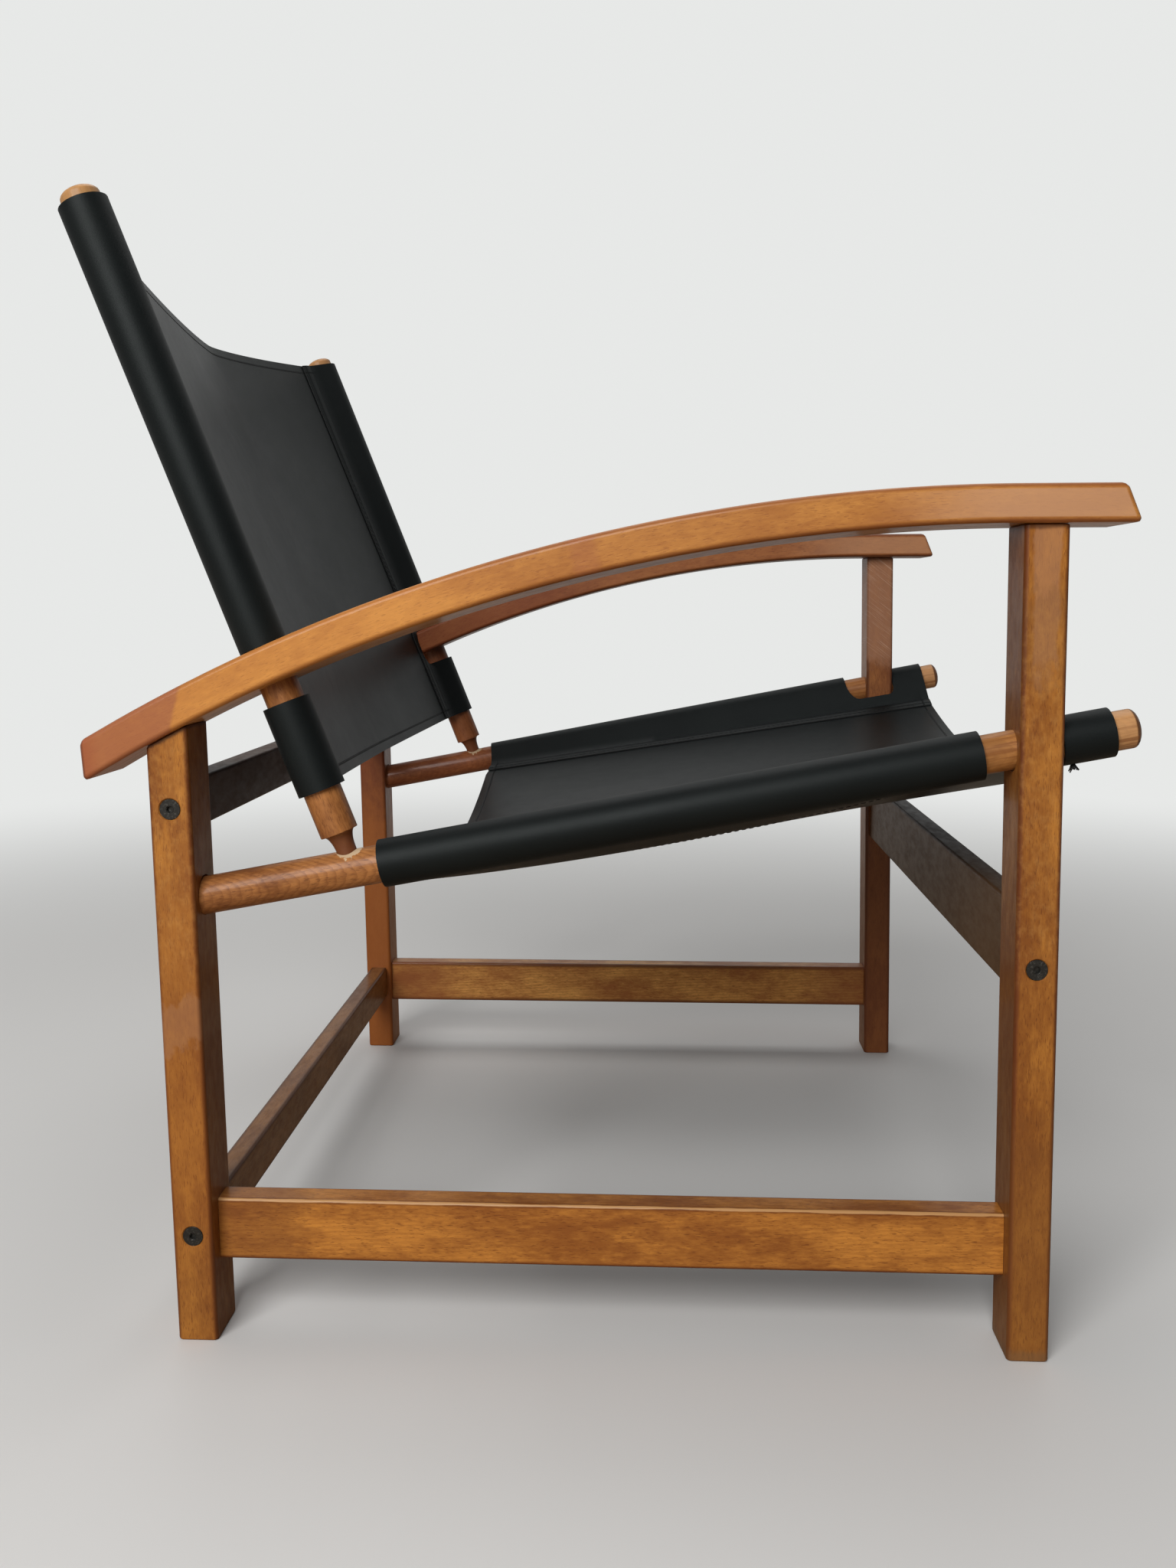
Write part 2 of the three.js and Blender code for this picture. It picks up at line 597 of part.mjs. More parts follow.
// Angle of the point where a line from an outside point touches a circle, on the chosen side of the line
function tangentAngle(centre, radius, from, hand) {
  const away = from.clone().sub(centre);
  return away.angle() + hand * Math.acos(radius / away.length());
}

// Gives a line of points the thickness of the leather, as one closed outline
function thicken(line) {
  const offset = (i, distance) => {
    const before = line[Math.max(i - 1, 0)];
    const after = line[Math.min(i + 1, line.length - 1)];
    const run = after.clone().sub(before).normalize();
    return new THREE.Vector2(line[i].x - run.y * distance, line[i].y + run.x * distance);
  };
  const one = line.map((_, i) => offset(i, LEATHER / 2));
  const other = line.map((_, i) => offset(i, -LEATHER / 2));
  return [...one, ...other.reverse()];
}

// Lofts the sheet's outline through stations along the rods: x across, y deep, z along
function slingGeometry(stations, formAt) {
  const outlines = stations.map((z) => thicken(sheetLine(formAt(z))));
  if (THREE.ShapeUtils.isClockWise(outlines[0])) {
    outlines.forEach((outline) => outline.reverse());
  }
  const count = outlines[0].length;
  const positions = outlines.flatMap((outline, s) => outline.flatMap((p) => [p.x, p.y, stations[s]]));
  const index = [];
  for (let s = 0; s + 1 < stations.length; s++) {
    for (let i = 0; i < count; i++) {
      const a = s * count + i;
      const b = s * count + ((i + 1) % count);
      index.push(a, b, b + count, a, b + count, a + count);
    }
  }
  const top = (stations.length - 1) * count;
  THREE.ShapeUtils.triangulateShape(outlines[0], []).forEach(([a, b, c]) => index.push(a, c, b));
  THREE.ShapeUtils.triangulateShape(outlines[stations.length - 1], []).forEach(([a, b, c]) =>
    index.push(top + a, top + b, top + c),
  );
  const geometry = new THREE.BufferGeometry();
  geometry.setAttribute("position", new THREE.Float32BufferAttribute(positions, 3));
  geometry.setIndex(index);
  return geometry;
}

// Notch from the outside of a sleeve in to a given X, with round inner corners, between two places along a rod.
// Its ends may lean, to lie along a leg that crosses the rod at an angle.
function notchCutter(side, depth, from, to, corner, lean) {
  const inner = side * depth;
  const bend = side * (depth + corner);
  const outer = side * (WIDTH / 2 + LEG_WIDTH);
  const shape = new THREE.Shape();
  shape.moveTo(outer, from);
  shape.lineTo(outer, to);
  shape.lineTo(bend, to);
  shape.quadraticCurveTo(inner, to, inner, to - corner);
  shape.lineTo(inner, from + corner);
  shape.quadraticCurveTo(inner, from, bend, from);
  shape.closePath();
  const through = 6 * ROD_DIAMETER;
  const geometry = new THREE.ExtrudeGeometry(shape, { depth: through, bevelEnabled: false, curveSegments: 4 });
  geometry.translate(0, 0, -through / 2).rotateX(Math.PI / 2);
  return geometry.applyMatrix4(new THREE.Matrix4().makeShear(0, 0, 0, lean, 0, 0));
}

const spread = (from, to, count) =>
  Array.from({ length: count }, (_, i) => from + ((to - from) * i) / (count - 1));

// A value that passes through its rear, middle and front sizes
function blend({ rear, middle, front }, share) {
  const early = THREE.MathUtils.lerp(rear, 2 * middle - (rear + front) / 2, share);
  const late = THREE.MathUtils.lerp(2 * middle - (rear + front) / 2, front, share);
  return THREE.MathUtils.lerp(early, late, share);
}

// Seat sling: z runs back along the rods, so distances from the rear leg are negative
function seatSlingGeometry() {
  const rear = -BACK_ROD_FOOT - SEAT_SLING_START;
  const front = rear - SEAT_SLING_LENGTH;
  const blank = slingGeometry(spread(front, rear, 7), (z) => {
    const share = (rear - z) / SEAT_SLING_LENGTH;
    return {
      rodX: LEG_X,
      lapDepth: { right: blend(SEAT_LAP_DEPTH.right, share), left: blend(SEAT_LAP_DEPTH.left, share) },
      sag: blend(SEAT_SAG, share),
      sharpness: blend(SEAT_SHARPNESS, share),
      deepest: 0,
    };
  });
  const legFront = -seatRodAtFrontLeg(-LEG_DEPTH / 2) - SEAT_NOTCH_AHEAD;
  const legMiddle = -seatRodAtFrontLeg(0);
  const legRear = -seatRodAtFrontLeg(LEG_DEPTH / 2) + SEAT_NOTCH_BEHIND;
  const lean = Math.tan(seatTilt - Math.atan(LEGS.front.rake));
  const notch = INNER_FACE - SEAT_NOTCH_CLEARANCE;
  const cutters = Object.values(SIDES).flatMap((side) => [
    notchCutter(side, notch, legMiddle - NOTCH_CORNER, legRear, NOTCH_CORNER, 0),
    notchCutter(side, notch, legFront, legMiddle + NOTCH_CORNER, NOTCH_CORNER / 2, lean),
  ]);
  return cut(blank, cutters);
}

// Back sling: z runs up along the rods from the seat rod's axis
function backSlingGeometry() {
  const foot = BACK_ROD_SHOULDER + BACK_SLING_START;
  const top = foot + BACK_SLING_LENGTH;
  const blank = slingGeometry(spread(foot, top, 6), (z) => {
    const share = (z - foot) / BACK_SLING_LENGTH;
    return {
      rodX: backRodX(z),
      lapDepth: { right: BACK_LAP_DEPTH, left: BACK_LAP_DEPTH },
      sag: THREE.MathUtils.lerp(BACK_SAG_FOOT, BACK_SAG_TOP, share),
      sharpness: BACK_SHARPNESS,
      deepest: BACK_SAG_SHIFT * share,
    };
  });
  const arm = backRodAtArm();
  const from = arm - ARM_THICKNESS / 2 - BACK_NOTCH_BELOW;
  const to = arm + ARM_THICKNESS / 2 + BACK_NOTCH_ABOVE;
  const notch = ARM_X - ARM_WIDTH / 2 - BACK_NOTCH_CLEARANCE;
  const cutters = Object.values(SIDES).map((side) => notchCutter(side, notch, from, to, NOTCH_CORNER, 0));
  return cut(blank, cutters);
}

// The chair
const chair = new THREE.Group();

function place(parent, name, geometry, material) {
  const mesh = new THREE.Mesh(geometry, material);
  mesh.name = name;
  parent.add(mesh);
  return mesh;
}

// A lathed piece keeps its own axis and is turned to run from one point towards another
function placeAlong(name, geometry, material, from, to) {
  const mesh = place(chair, name, geometry, material);
  mesh.position.copy(from);
  mesh.quaternion.setFromUnitVectors(point(0, 1, 0), to.clone().sub(from).normalize());
}

const placeDowel = (name, ends) => placeAlong(name, dowelGeometry(ends), DOWEL_WOOD, ends[0], ends[1]);

const seat = new THREE.Group();
seat.position.copy(seatStart);
seat.rotation.x = -seatTilt;
const back = new THREE.Group();
back.position.copy(onBackRod(0, 0));
back.rotation.x = -backTilt;
chair.add(seat, back);

for (const [hand, side] of Object.entries(SIDES)) {
  for (const end of ["front", "rear"]) {
    place(chair, `${end}_leg_${hand}`, legGeometry(end, side), WOOD);
    for (const [row, offset] of Object.entries(ARM_ROWS)) {
      placeDowel(`arm_dowel_${end}_${row}_${hand}`, armDowelEnds(end, offset, side));
    }
    for (const [row, rise] of Object.entries(STRETCHER_ROWS)) {
      placeDowel(`stretcher_dowel_${end}_${row}_${hand}`, stretcherDowelEnds(end, rise, side));
    }
  }
  place(chair, `arm_${hand}`, armGeometry(side), WOOD);
  place(chair, `side_stretcher_${hand}`, stretcherGeometry(side), WOOD);
  place(chair, `seat_rod_${hand}`, seatRodGeometry(side), ROD_WOOD);
  placeAlong(`back_rod_${hand}`, backRodGeometry(), ROD_WOOD, onBackRod(side, 0), onBackRod(side, 1));
  for (const [name, rail] of Object.entries(RAILS)) {
    placeAlong(`${name}_bolt_${hand}`, boltGeometry(), BLACK_STEEL, boltHead(rail, side), boltEnd(rail, side));
    placeAlong(`${name}_bush_${hand}`, bushGeometry(), BRASS, bushStart(rail, side), boltEnd(rail, side));
    for (const [row, rise] of Object.entries(rail.dowels)) {
      placeDowel(`${name}_dowel_${row}_${hand}`, railDowelEnds(rail, rise, side));
    }
  }
}
for (const [name, rail] of Object.entries(RAILS)) {
  place(chair, `${name}_rail`, railGeometry(rail), WOOD);
}
place(seat, "seat_sling", seatSlingGeometry(), LEATHER_FINISH).rotation.x = -Math.PI / 2;
place(back, "back_sling", backSlingGeometry(), LEATHER_FINISH);

// Centre the overall depth on the origin
const box = new THREE.Box3().setFromObject(chair, true);
chair.position.y = -(box.min.y + box.max.y) / 2;

export default chair;
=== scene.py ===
import math

import bmesh
import bpy
from mathutils import Matrix, Vector


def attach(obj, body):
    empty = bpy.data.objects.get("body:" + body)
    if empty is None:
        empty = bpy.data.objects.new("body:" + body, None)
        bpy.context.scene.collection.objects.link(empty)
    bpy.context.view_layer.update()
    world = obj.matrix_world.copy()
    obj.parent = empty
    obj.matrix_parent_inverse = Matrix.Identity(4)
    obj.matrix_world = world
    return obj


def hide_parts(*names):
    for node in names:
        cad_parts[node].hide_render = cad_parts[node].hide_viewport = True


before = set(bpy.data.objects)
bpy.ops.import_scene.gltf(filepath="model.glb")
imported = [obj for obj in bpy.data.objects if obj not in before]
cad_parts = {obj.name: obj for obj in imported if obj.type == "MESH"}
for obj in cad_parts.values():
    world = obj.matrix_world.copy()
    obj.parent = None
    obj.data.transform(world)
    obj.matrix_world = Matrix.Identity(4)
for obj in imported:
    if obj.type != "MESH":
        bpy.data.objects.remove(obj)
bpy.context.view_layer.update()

# Legs
# Four posts of stained beech, 40 x 27 mm with rounded edges, which lean back by about a degree.
# Their tops are shaped to the arms, their feet are sawn square, and the bores for the seat rods
# and the countersinks for the rail bolts are drilled through the lacquer.
MM = 0.001
CHAIR_MIDDLE = -19.786  # from the middle of the feet to the middle of the chair's depth
FIT = 0.3
SIDES = {"right": -1, "left": 1}
leg_x = 300
leg_half = (20, 13.5)
leg_edge = 3
leg_outer = leg_x + leg_half[0]
leg_foot = {"front": -275, "rear": 275}
leg_rake = {"front": math.tan(math.radians(1.07)), "rear": math.tan(math.radians(0.48))}
leg_datum = 250  # height from which a leg's grain is measured
arm_top = 561.6
arm_thick = 23.3
arm_radius = 1163
arm_overhang = 38
arm_straight = 67.9
arm_nose = leg_foot["front"] + leg_rake["front"] * (arm_top - arm_thick) - leg_half[1] - arm_overhang
arm_bend = arm_nose + arm_straight
arm_centre = arm_top - arm_radius


def spot(x, y, z):
    """A place measured from the middle of the feet, in millimetres, as a point of the model."""
    return Vector((x, y + CHAIR_MIDDLE, z)) * MM


def arm_face(y, depth):
    """Height of the arm's bent wood at y, at a depth below its upper face."""
    if y <= arm_bend:
        return arm_top - depth
    return arm_centre + math.sqrt((arm_radius - depth) ** 2 - (y - arm_bend) ** 2)


seat_tilt = math.radians(10.67)
seat_rod_drop = 108.9  # from the rear leg's top
seat_rod_z = arm_face(leg_foot["rear"], arm_thick) - seat_rod_drop
seat_rod_y = leg_foot["rear"] + leg_rake["rear"] * seat_rod_z - leg_half[1]
rod_radius = 12.5
rod_hole = rod_radius + 0.25
hole_mouth = rod_radius + 1.1
head_radius = 6.75
shank_radius = 3


def on_seat_rod(x, along, below=0):
    """A place along a seat rod from the rear leg's front face, and below its axis."""
    y = seat_rod_y - along * math.cos(seat_tilt) - below * math.sin(seat_tilt)
    z = seat_rod_z + along * math.sin(seat_tilt) - below * math.cos(seat_tilt)
    return spot(x, y, z)


def front_leg_along(offset):
    """Where a seat rod's axis meets the plane at that offset from the front leg's middle."""
    gap = seat_rod_y - leg_foot["front"] - leg_rake["front"] * seat_rod_z - offset
    return gap / (math.cos(seat_tilt) + leg_rake["front"] * math.sin(seat_tilt))


bolts = {}
for bolt, end, z in (
    ("front", "front", seat_rod_z + front_leg_along(0) * math.sin(seat_tilt) - 139.2),
    ("rear_upper", "rear", arm_face(leg_foot["rear"], arm_thick) - 49),
    ("rear_lower", "rear", 74),
):
    bolts[bolt] = end, leg_foot[end] + leg_rake[end] * z, z


def planed(half_u, half_v, radius, steps=5):
    """Outline of a planed section with rounded edges."""
    outline = []
    for corner, (su, sv) in enumerate(((1, 1), (-1, 1), (-1, -1), (1, -1))):
        for i in range(steps + 1):
            turn = (corner + i / steps) * math.pi / 2
            u = su * (half_u - radius) + radius * math.cos(turn)
            v = sv * (half_v - radius) + radius * math.sin(turn)
            outline.append((u, v))
    return outline


def made(name, form):
    """The finished form as an object of the scene."""
    bmesh.ops.recalc_face_normals(form, faces=form.faces)
    mesh = bpy.data.meshes.new(name)
    form.to_mesh(mesh)
    form.free()
    piece = bpy.data.objects.new(name, mesh)
    bpy.context.scene.collection.objects.link(piece)
    return piece


def joined(form, rings):
    """Adds a closed body through rings of points, with flat ends, to a form."""
    loops = [[form.verts.new(p) for p in ring] for ring in rings]
    for low, high in zip(loops, loops[1:]):
        for i in range(len(low)):
            j = (i + 1) % len(low)
            form.faces.new((low[i], low[j], high[j], high[i]))
    form.faces.new(loops[0][::-1])
    form.faces.new(loops[-1])


def skin(name, rings):
    """A piece that is one closed body through rings of points."""
    form = bmesh.new()
    joined(form, rings)
    return made(name, form)


def turned(name, profile, foot, tip, sides=48):
    """A turned body: radius and height in millimetres along the line from foot towards tip."""
    axis = (tip - foot).normalized()
    side = axis.cross(Vector((0.3, 0.2, 1))).normalized()
    other = axis.cross(side)
    angles = [2 * math.pi * i / sides for i in range(sides)]
    spokes = [side * math.cos(angle) + other * math.sin(angle) for angle in angles]
    rings = []
    for radius, height in profile:
        rings.append([foot + (axis * height + spoke * radius) * MM for spoke in spokes])
    return skin(name, rings)


def drill(piece, cutters):
    """Cuts each cutter out of the piece and takes the cutters away."""
    for cutter in cutters:
        hole = piece.modifiers.new("hole", "BOOLEAN")
        hole.operation = "DIFFERENCE"
        hole.solver = "EXACT"
        hole.object = cutter
    drilled = piece.evaluated_get(bpy.context.evaluated_depsgraph_get())
    mesh = bpy.data.meshes.new_from_object(drilled)
    blank = piece.data
    piece.modifiers.clear()
    piece.data = mesh
    bpy.data.meshes.remove(blank)
    for cutter in cutters:
        bpy.data.objects.remove(cutter)


def smooth(piece, degrees=35, weighted=True):
    """Rounded edges shade softly and crisp ones stay crisp."""
    piece.data.shade_smooth()
    piece.data.set_sharp_from_angle(angle=math.radians(degrees))
    if weighted:
        normals = piece.modifiers.new("normals", "WEIGHTED_NORMAL")
        normals.keep_sharp = True
        normals.weight = 80


def sawn(piece, board, place):
    """Marks each point with its place in the straight stick, grain along the third axis, in millimetres."""
    mesh = piece.data
    mesh.attributes.new("stock", "FLOAT_VECTOR", "POINT")
    mesh.attributes.new("board", "FLOAT", "POINT")
    places = []
    for vertex in mesh.vertices:
        p = vertex.co / MM
        places.extend(place(p.x, p.y - CHAIR_MIDDLE, p.z))
    mesh.attributes["stock"].data.foreach_set("vector", places)
    mesh.attributes["board"].data.foreach_set("value", [board] * len(mesh.vertices))


def settle(piece, finish, node):
    """Gives a piece its finish, hides the solid it stands for and hangs it on the root."""
    piece.data.materials.append(finish)
    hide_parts(node)
    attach(piece, "root")


class Shade:
    """What a shader node puts out. Reckoning with it lays further nodes in the same tree."""

    def __init__(self, tree, socket):
        self.tree, self.socket = tree, socket

    def reckon(self, operation, a, b=0.0):
        node = lay(self.tree, "ShaderNodeMath", {0: a, 1: b}, operation=operation)
        return Shade(self.tree, node.outputs[0])

    def __add__(self, other):
        return self.reckon("ADD", self, other)

    def __sub__(self, other):
        return self.reckon("SUBTRACT", self, other)

    def __rsub__(self, other):
        return self.reckon("SUBTRACT", other, self)

    def __mul__(self, other):
        return self.reckon("MULTIPLY", self, other)

    def __truediv__(self, other):
        return self.reckon("DIVIDE", self, other)

    def __abs__(self):
        return self.reckon("ABSOLUTE", self)

    def larger(self, other):
        return self.reckon("MAXIMUM", self, other)

    def smaller(self, other):
        return self.reckon("MINIMUM", self, other)

    def between(self, low, high, to_low=0.0, to_high=1.0):
        """Passes smoothly from one value to another while this one goes from low to high."""
        limits = {"Value": self, "From Min": low, "From Max": high, "To Min": to_low, "To Max": to_high}
        node = lay(self.tree, "ShaderNodeMapRange", limits, interpolation_type="SMOOTHSTEP")
        return Shade(self.tree, node.outputs["Result"])

    def fades(self, low, high):
        return self.between(low, high, 1.0, 0.0)

    def vector(self, operation, other=(0, 0, 0), outlet="Vector"):
        node = lay(self.tree, "ShaderNodeVectorMath", {0: self, 1: other}, operation=operation)
        return Shade(self.tree, node.outputs[outlet])

    def parts(self):
        """The three measures of a place."""
        return [Shade(self.tree, part) for part in lay(self.tree, "ShaderNodeSeparateXYZ", {0: self}).outputs]


def feed(entry, source):
    """Links a shade to a node's input, or sets the input to a plain value."""
    if isinstance(source, Shade):
        source.tree.links.new(source.socket, entry)
    else:
        entry.default_value = source


def lay(tree, kind, inputs=None, **settings):
    """Lays one shader node with its settings and with what its inputs take."""
    node = tree.nodes.new(kind)
    for key, value in settings.items():
        setattr(node, key, value)
    for name, source in (inputs or {}).items():
        feed(node.inputs[name], source)
    return node


def clouds(place, size, lot=0.0, detail=3.0, rough=0.55):
    """Cloudy variation over a place, with the clouds' size along its three axes."""
    where = place.vector("MULTIPLY", [1 / s for s in size])
    inputs = {"Vector": where, "W": lot, "Scale": 1.0, "Detail": detail, "Roughness": rough}
    node = lay(place.tree, "ShaderNodeTexNoise", inputs, noise_dimensions="4D")
    return Shade(place.tree, node.outputs["Fac"])


def blend(share, a, b):
    """A share of the second colour over the first."""
    node = lay(share.tree, "ShaderNodeMix", data_type="RGBA")
    colors = {socket.name: socket for socket in node.inputs if socket.type == "RGBA"}
    feed(node.inputs[0], share)
    feed(colors["A"], a)
    feed(colors["B"], b)
    return Shade(share.tree, next(socket for socket in node.outputs if socket.type == "RGBA"))


def shader_group(name, inputs, outputs):
    """A node group with its sockets. Gives the group, what comes in, and the inputs that lead out."""
    tree = bpy.data.node_groups.new(name, "ShaderNodeTree")
    for way, kinds in (("INPUT", inputs), ("OUTPUT", outputs)):
        for kind, names in kinds.items():
            for socket in names:
                tree.interface.new_socket(socket, in_out=way, socket_type=f"NodeSocket{kind}")
    inlet = tree.nodes.new("NodeGroupInput").outputs
    outlet = tree.nodes.new("NodeGroupOutput").inputs
    return tree, {socket.name: Shade(tree, socket) for socket in inlet if socket.name}, outlet


def beech_group():
    """Stained beech under lacquer: cloudy stain, fibres, dark ray flecks and a dark band along the edges."""
    tree, inlet, outlet = shader_group(
        "stained beech",
        {
            "Vector": ("Stock", "Half"),
            "Float": ("Board", "Edge Width", "Figure", "Slope"),
            "Color": ("Golden", "Brown", "Edge"),
        },
        {"Color": ("Color",), "Float": ("Roughness", "Height")},
    )
    stock, lot, brown, edge = inlet["Stock"], inlet["Board"], inlet["Brown"], inlet["Edge"]
    stain = clouds(stock, (30, 30, 85), lot, 2.0)
    mottle = clouds(stock, (6, 6, 14), lot, 3.0, 0.6)
    shimmer = clouds(stock, (2, 2, 7), lot, 2.0)
    fibre = clouds(stock, (1 / 1.3, 1 / 1.3, 22), lot, 2.0, 0.6)
    fleck = clouds(stock, (0.55, 0.55, 4), lot, 1.0, 0.4)
    shade = (stain * 0.7 + mottle * 0.36 + shimmer * 0.25).between(0.48, 0.82)
    wood = blend(shade, inlet["Golden"], brown)
    wood = blend(fibre.between(0.45, 0.72, 0.0, 0.3), wood, brown)
    # Growth rings around a pith that lies outside the piece and slants through it
    across, aside, along = stock.parts()
    pith = {0: across + 340.0 + along * inlet["Slope"], 1: aside + 17.0 + along * -0.03}
    ring = Shade(tree, lay(tree, "ShaderNodeCombineXYZ", pith).outputs[0]).vector("LENGTH", outlet="Value")
    ring = ring / 3.1 + mottle * 1.3 + stain * 2.0
    late = ring.reckon("FRACT", ring).between(0.35, 0.97)
    wood = blend(late * inlet["Figure"], wood, brown)
    flecks = fleck.between(0.6, 0.68)
    wood = blend(flecks * 0.5, wood, edge)
    # A dark band where two faces meet
    inset = inlet["Half"].vector("SUBTRACT", stock.vector("ABSOLUTE")).parts()
    away = inset[0].larger(inset[1]) + (mottle - 0.5) * 3.0
    rim = (away / inlet["Edge Width"]).fades(0.3, 1.0)
    feed(outlet["Color"], blend(rim * 0.85, wood, edge))
    feed(outlet["Roughness"], mottle.between(0.3, 0.75, 0.36, 0.5))
    feed(outlet["Height"], fibre * 0.35 - flecks * 0.4 + mottle * 0.5)
    return tree


beech = beech_group()


def new_finish(name):
    """An empty finish, its node tree and the inputs of its surface."""
    finish = bpy.data.materials.new(name)
    finish.use_nodes = True
    return finish, finish.node_tree, surface_of(finish)


def surface_of(finish):
    return finish.node_tree.nodes["Principled BSDF"].inputs


def emboss(surface, height, strength, distance):
    """Raises a surface by a height that changes over it."""
    bump = lay(height.tree, "ShaderNodeBump", {"Height": height, "Strength": strength, "Distance": distance})
    feed(surface["Normal"], Shade(height.tree, bump.outputs["Normal"]))


def mark_of(finish, name, outlet):
    """A mark that sawn() has left on the points of a piece."""
    tree = finish.node_tree
    return Shade(tree, lay(tree, "ShaderNodeAttribute", attribute_name=name).outputs[outlet])


def stock_of(finish):
    """The place in the stick, and its three measures: two across the grain and one along it."""
    stock = mark_of(finish, "stock", "Vector")
    return stock, stock.parts()


def stain_and_light_over(finish, mask, tone):
    """Lays a tone over a finish's colour, as far as the mask says: stains and painted light alike."""
    entry = surface_of(finish)["Base Color"]
    below = Shade(mask.tree, entry.links[0].from_socket)
    feed(entry, blend(mask, below, tone))


def beech_finish(name, half, shades, edge_width=3.6, figure=0.25, slope=0.05):
    """A lacquered finish on stained beech."""
    finish, tree, surface = new_finish(name)
    golden, brown, edge = shades
    wood = lay(tree, "ShaderNodeGroup", {
        "Stock": mark_of(finish, "stock", "Vector"), "Board": mark_of(finish, "board", "Fac"),
        "Half": half, "Golden": golden, "Brown": brown, "Edge": edge,
        "Edge Width": edge_width, "Figure": figure, "Slope": slope,
    }, node_tree=beech).outputs
    feed(surface["Base Color"], Shade(tree, wood["Color"]))
    feed(surface["Roughness"], Shade(tree, wood["Roughness"]))
    emboss(surface, Shade(tree, wood["Height"]), 0.18, 0.0006)
    surface["Specular IOR Level"].default_value = 0.16
    surface["Coat Weight"].default_value = 0.22
    surface["Coat Roughness"].default_value = 0.16
    return finish


def patched_beech(name, half, shades, edge_width, figure, datum, patches, slope=0.05, shear=0.0):
    """Beech with patches over its colour: mostly stain that has changed, some painted shade and painted
    reflection. Each runs from one place to another along the grain, with how soft and how far its border
    roams, how far across it reaches from the middle, how strong, and its colour."""
    finish = beech_finish(name, half, shades, edge_width, figure, slope)
    stock, (_, aside, along) = stock_of(finish)
    roam = (clouds(stock, (8, 8, 12), mark_of(finish, "board", "Fac")) - 0.5) * 2.0
    along = along + datum + aside * shear
    for low, high, soft, far, across, share, tone in patches:
        border = along + roam * far
        mask = border.between(low - soft, low + soft) * border.fades(high - soft, high + soft)
        if across:
            mask = mask * (abs(aside) + roam * 3.0).fades(across - 1.2, across + 1.2)
        stain_and_light_over(finish, mask * share, tone)
    return finish


leg_stick = (*leg_half, 400)
leg_shades = ((0.5, 0.2, 0.034, 1), (0.24, 0.077, 0.0135, 1), (0.115, 0.026, 0.007, 1))
# The far legs' tones, darker and a little bluer than the near legs': painted shade and painted reflection, as
# they stand farther from the light and in the chair's shade
far_leg_painted_shade = ((0.34, 0.13, 0.04, 1), (0.19, 0.062, 0.02, 1), (0.09, 0.026, 0.01, 1))
leg_finishes = {
    ("front", "right"): patched_beech("front leg beech", leg_stick, leg_shades, 3.6, 0.25, leg_datum, [
        # Pinkish upper middle of the front leg: painted reflection
        (448, 560, 14, 30, 7.5, 0.6, (0.43, 0.21, 0.1, 1)),
        # Dark line at the leg's top under the arm: painted shadow of the arm's overhang
        (535, 600, 1.2, 2, 0, 0.6, (0.06, 0.02, 0.009, 1)),
        (440, 500, 8, 40, 0, 0.3, (0.17, 0.07, 0.022, 1)),
        (-50, 170, 40, 60, 0, 0.5, (0.2, 0.072, 0.018, 1)),
        (-10, 7, 3, 5, 0, 0.4, (0.17, 0.11, 0.06, 1)),
    ]),
    ("rear", "right"): patched_beech("rear leg beech", leg_stick, leg_shades, 3.6, 0.25, leg_datum, [
        (203, 236, 4, 22, 0, 0.4, (0.45, 0.25, 0.14, 1)),
        (-20, 60, 20, 20, 0, 0.25, (0.2, 0.075, 0.02, 1)),
        (70, 330, 40, 60, 0, 0.4, (0.27, 0.085, 0.016, 1)),
        # Dark line at the leg's top under the arm: painted shadow of the arm's overhang
        (406.5, 600, 1.2, 2, 0, 0.8, (0.05, 0.017, 0.008, 1)),
    ], shear=0.517),
    ("front", "left"): patched_beech("far front leg beech", leg_stick, far_leg_painted_shade, 4.0, 0.25, leg_datum, [
        (-50, 250, 50, 40, 0, 0.5, (0.19, 0.058, 0.024, 1)),
        (428, 560, 10, 16, 0, 0.6, (0.38, 0.19, 0.11, 1)),
    ]),
    ("rear", "left"): patched_beech("far rear leg beech", leg_stick, far_leg_painted_shade, 4.0, 0.25, leg_datum, [
        (-50, 290, 60, 60, 0, 0.75, (0.36, 0.108, 0.022, 1)),
        # Darker higher up: painted shade
        (290, 560, 60, 60, 0, 0.75, (0.19, 0.043, 0.014, 1)),
    ]),
}


def scratched(finish, low):
    """Fine slanting scratches in the lacquer, above a height."""
    stock, (_, _, height) = stock_of(finish)
    slant = lay(stock.tree, "ShaderNodeVectorRotate", {"Vector": stock, "Angle": 0.9}, rotation_type="X_AXIS")
    lines = clouds(Shade(stock.tree, slant.outputs[0]), (30, 0.55, 26), 4.0, 1.0).between(0.6, 0.68)
    reach = (height + leg_datum).between(low - 25, low + 10)
    stain_and_light_over(finish, lines * reach * 0.5, (0.55, 0.36, 0.25, 1))


def speckled(finish, low, high):
    """Golden specks where the stain has taken unevenly, between two heights."""
    stock, (_, _, height) = stock_of(finish)
    height = height + leg_datum
    specks = clouds(stock, (5, 5, 7), 8.0, 3.0, 0.65).between(0.42, 0.72)
    reach = height.between(low - 30, low + 30) * height.fades(high - 40, high + 20)
    stain_and_light_over(finish, specks * reach * 0.22, (0.64, 0.32, 0.085, 1))


def shaded(finish, facing):
    """Painted shade on the face towards the seat, which is turned away from the light."""
    _, (_, aside, _) = stock_of(finish)
    stain_and_light_over(finish, (aside * facing).between(11.5, 13.3, 0.0, 0.42), (0.09, 0.026, 0.007, 1))


scratched(leg_finishes["front", "left"], 440)
speckled(leg_finishes["front", "right"], 260, 500)
speckled(leg_finishes["rear", "right"], 250, 430)
# Painted shade on the near legs' faces that look towards each other
shaded(leg_finishes["front", "right"], 1)
shaded(leg_finishes["rear", "right"], -1)


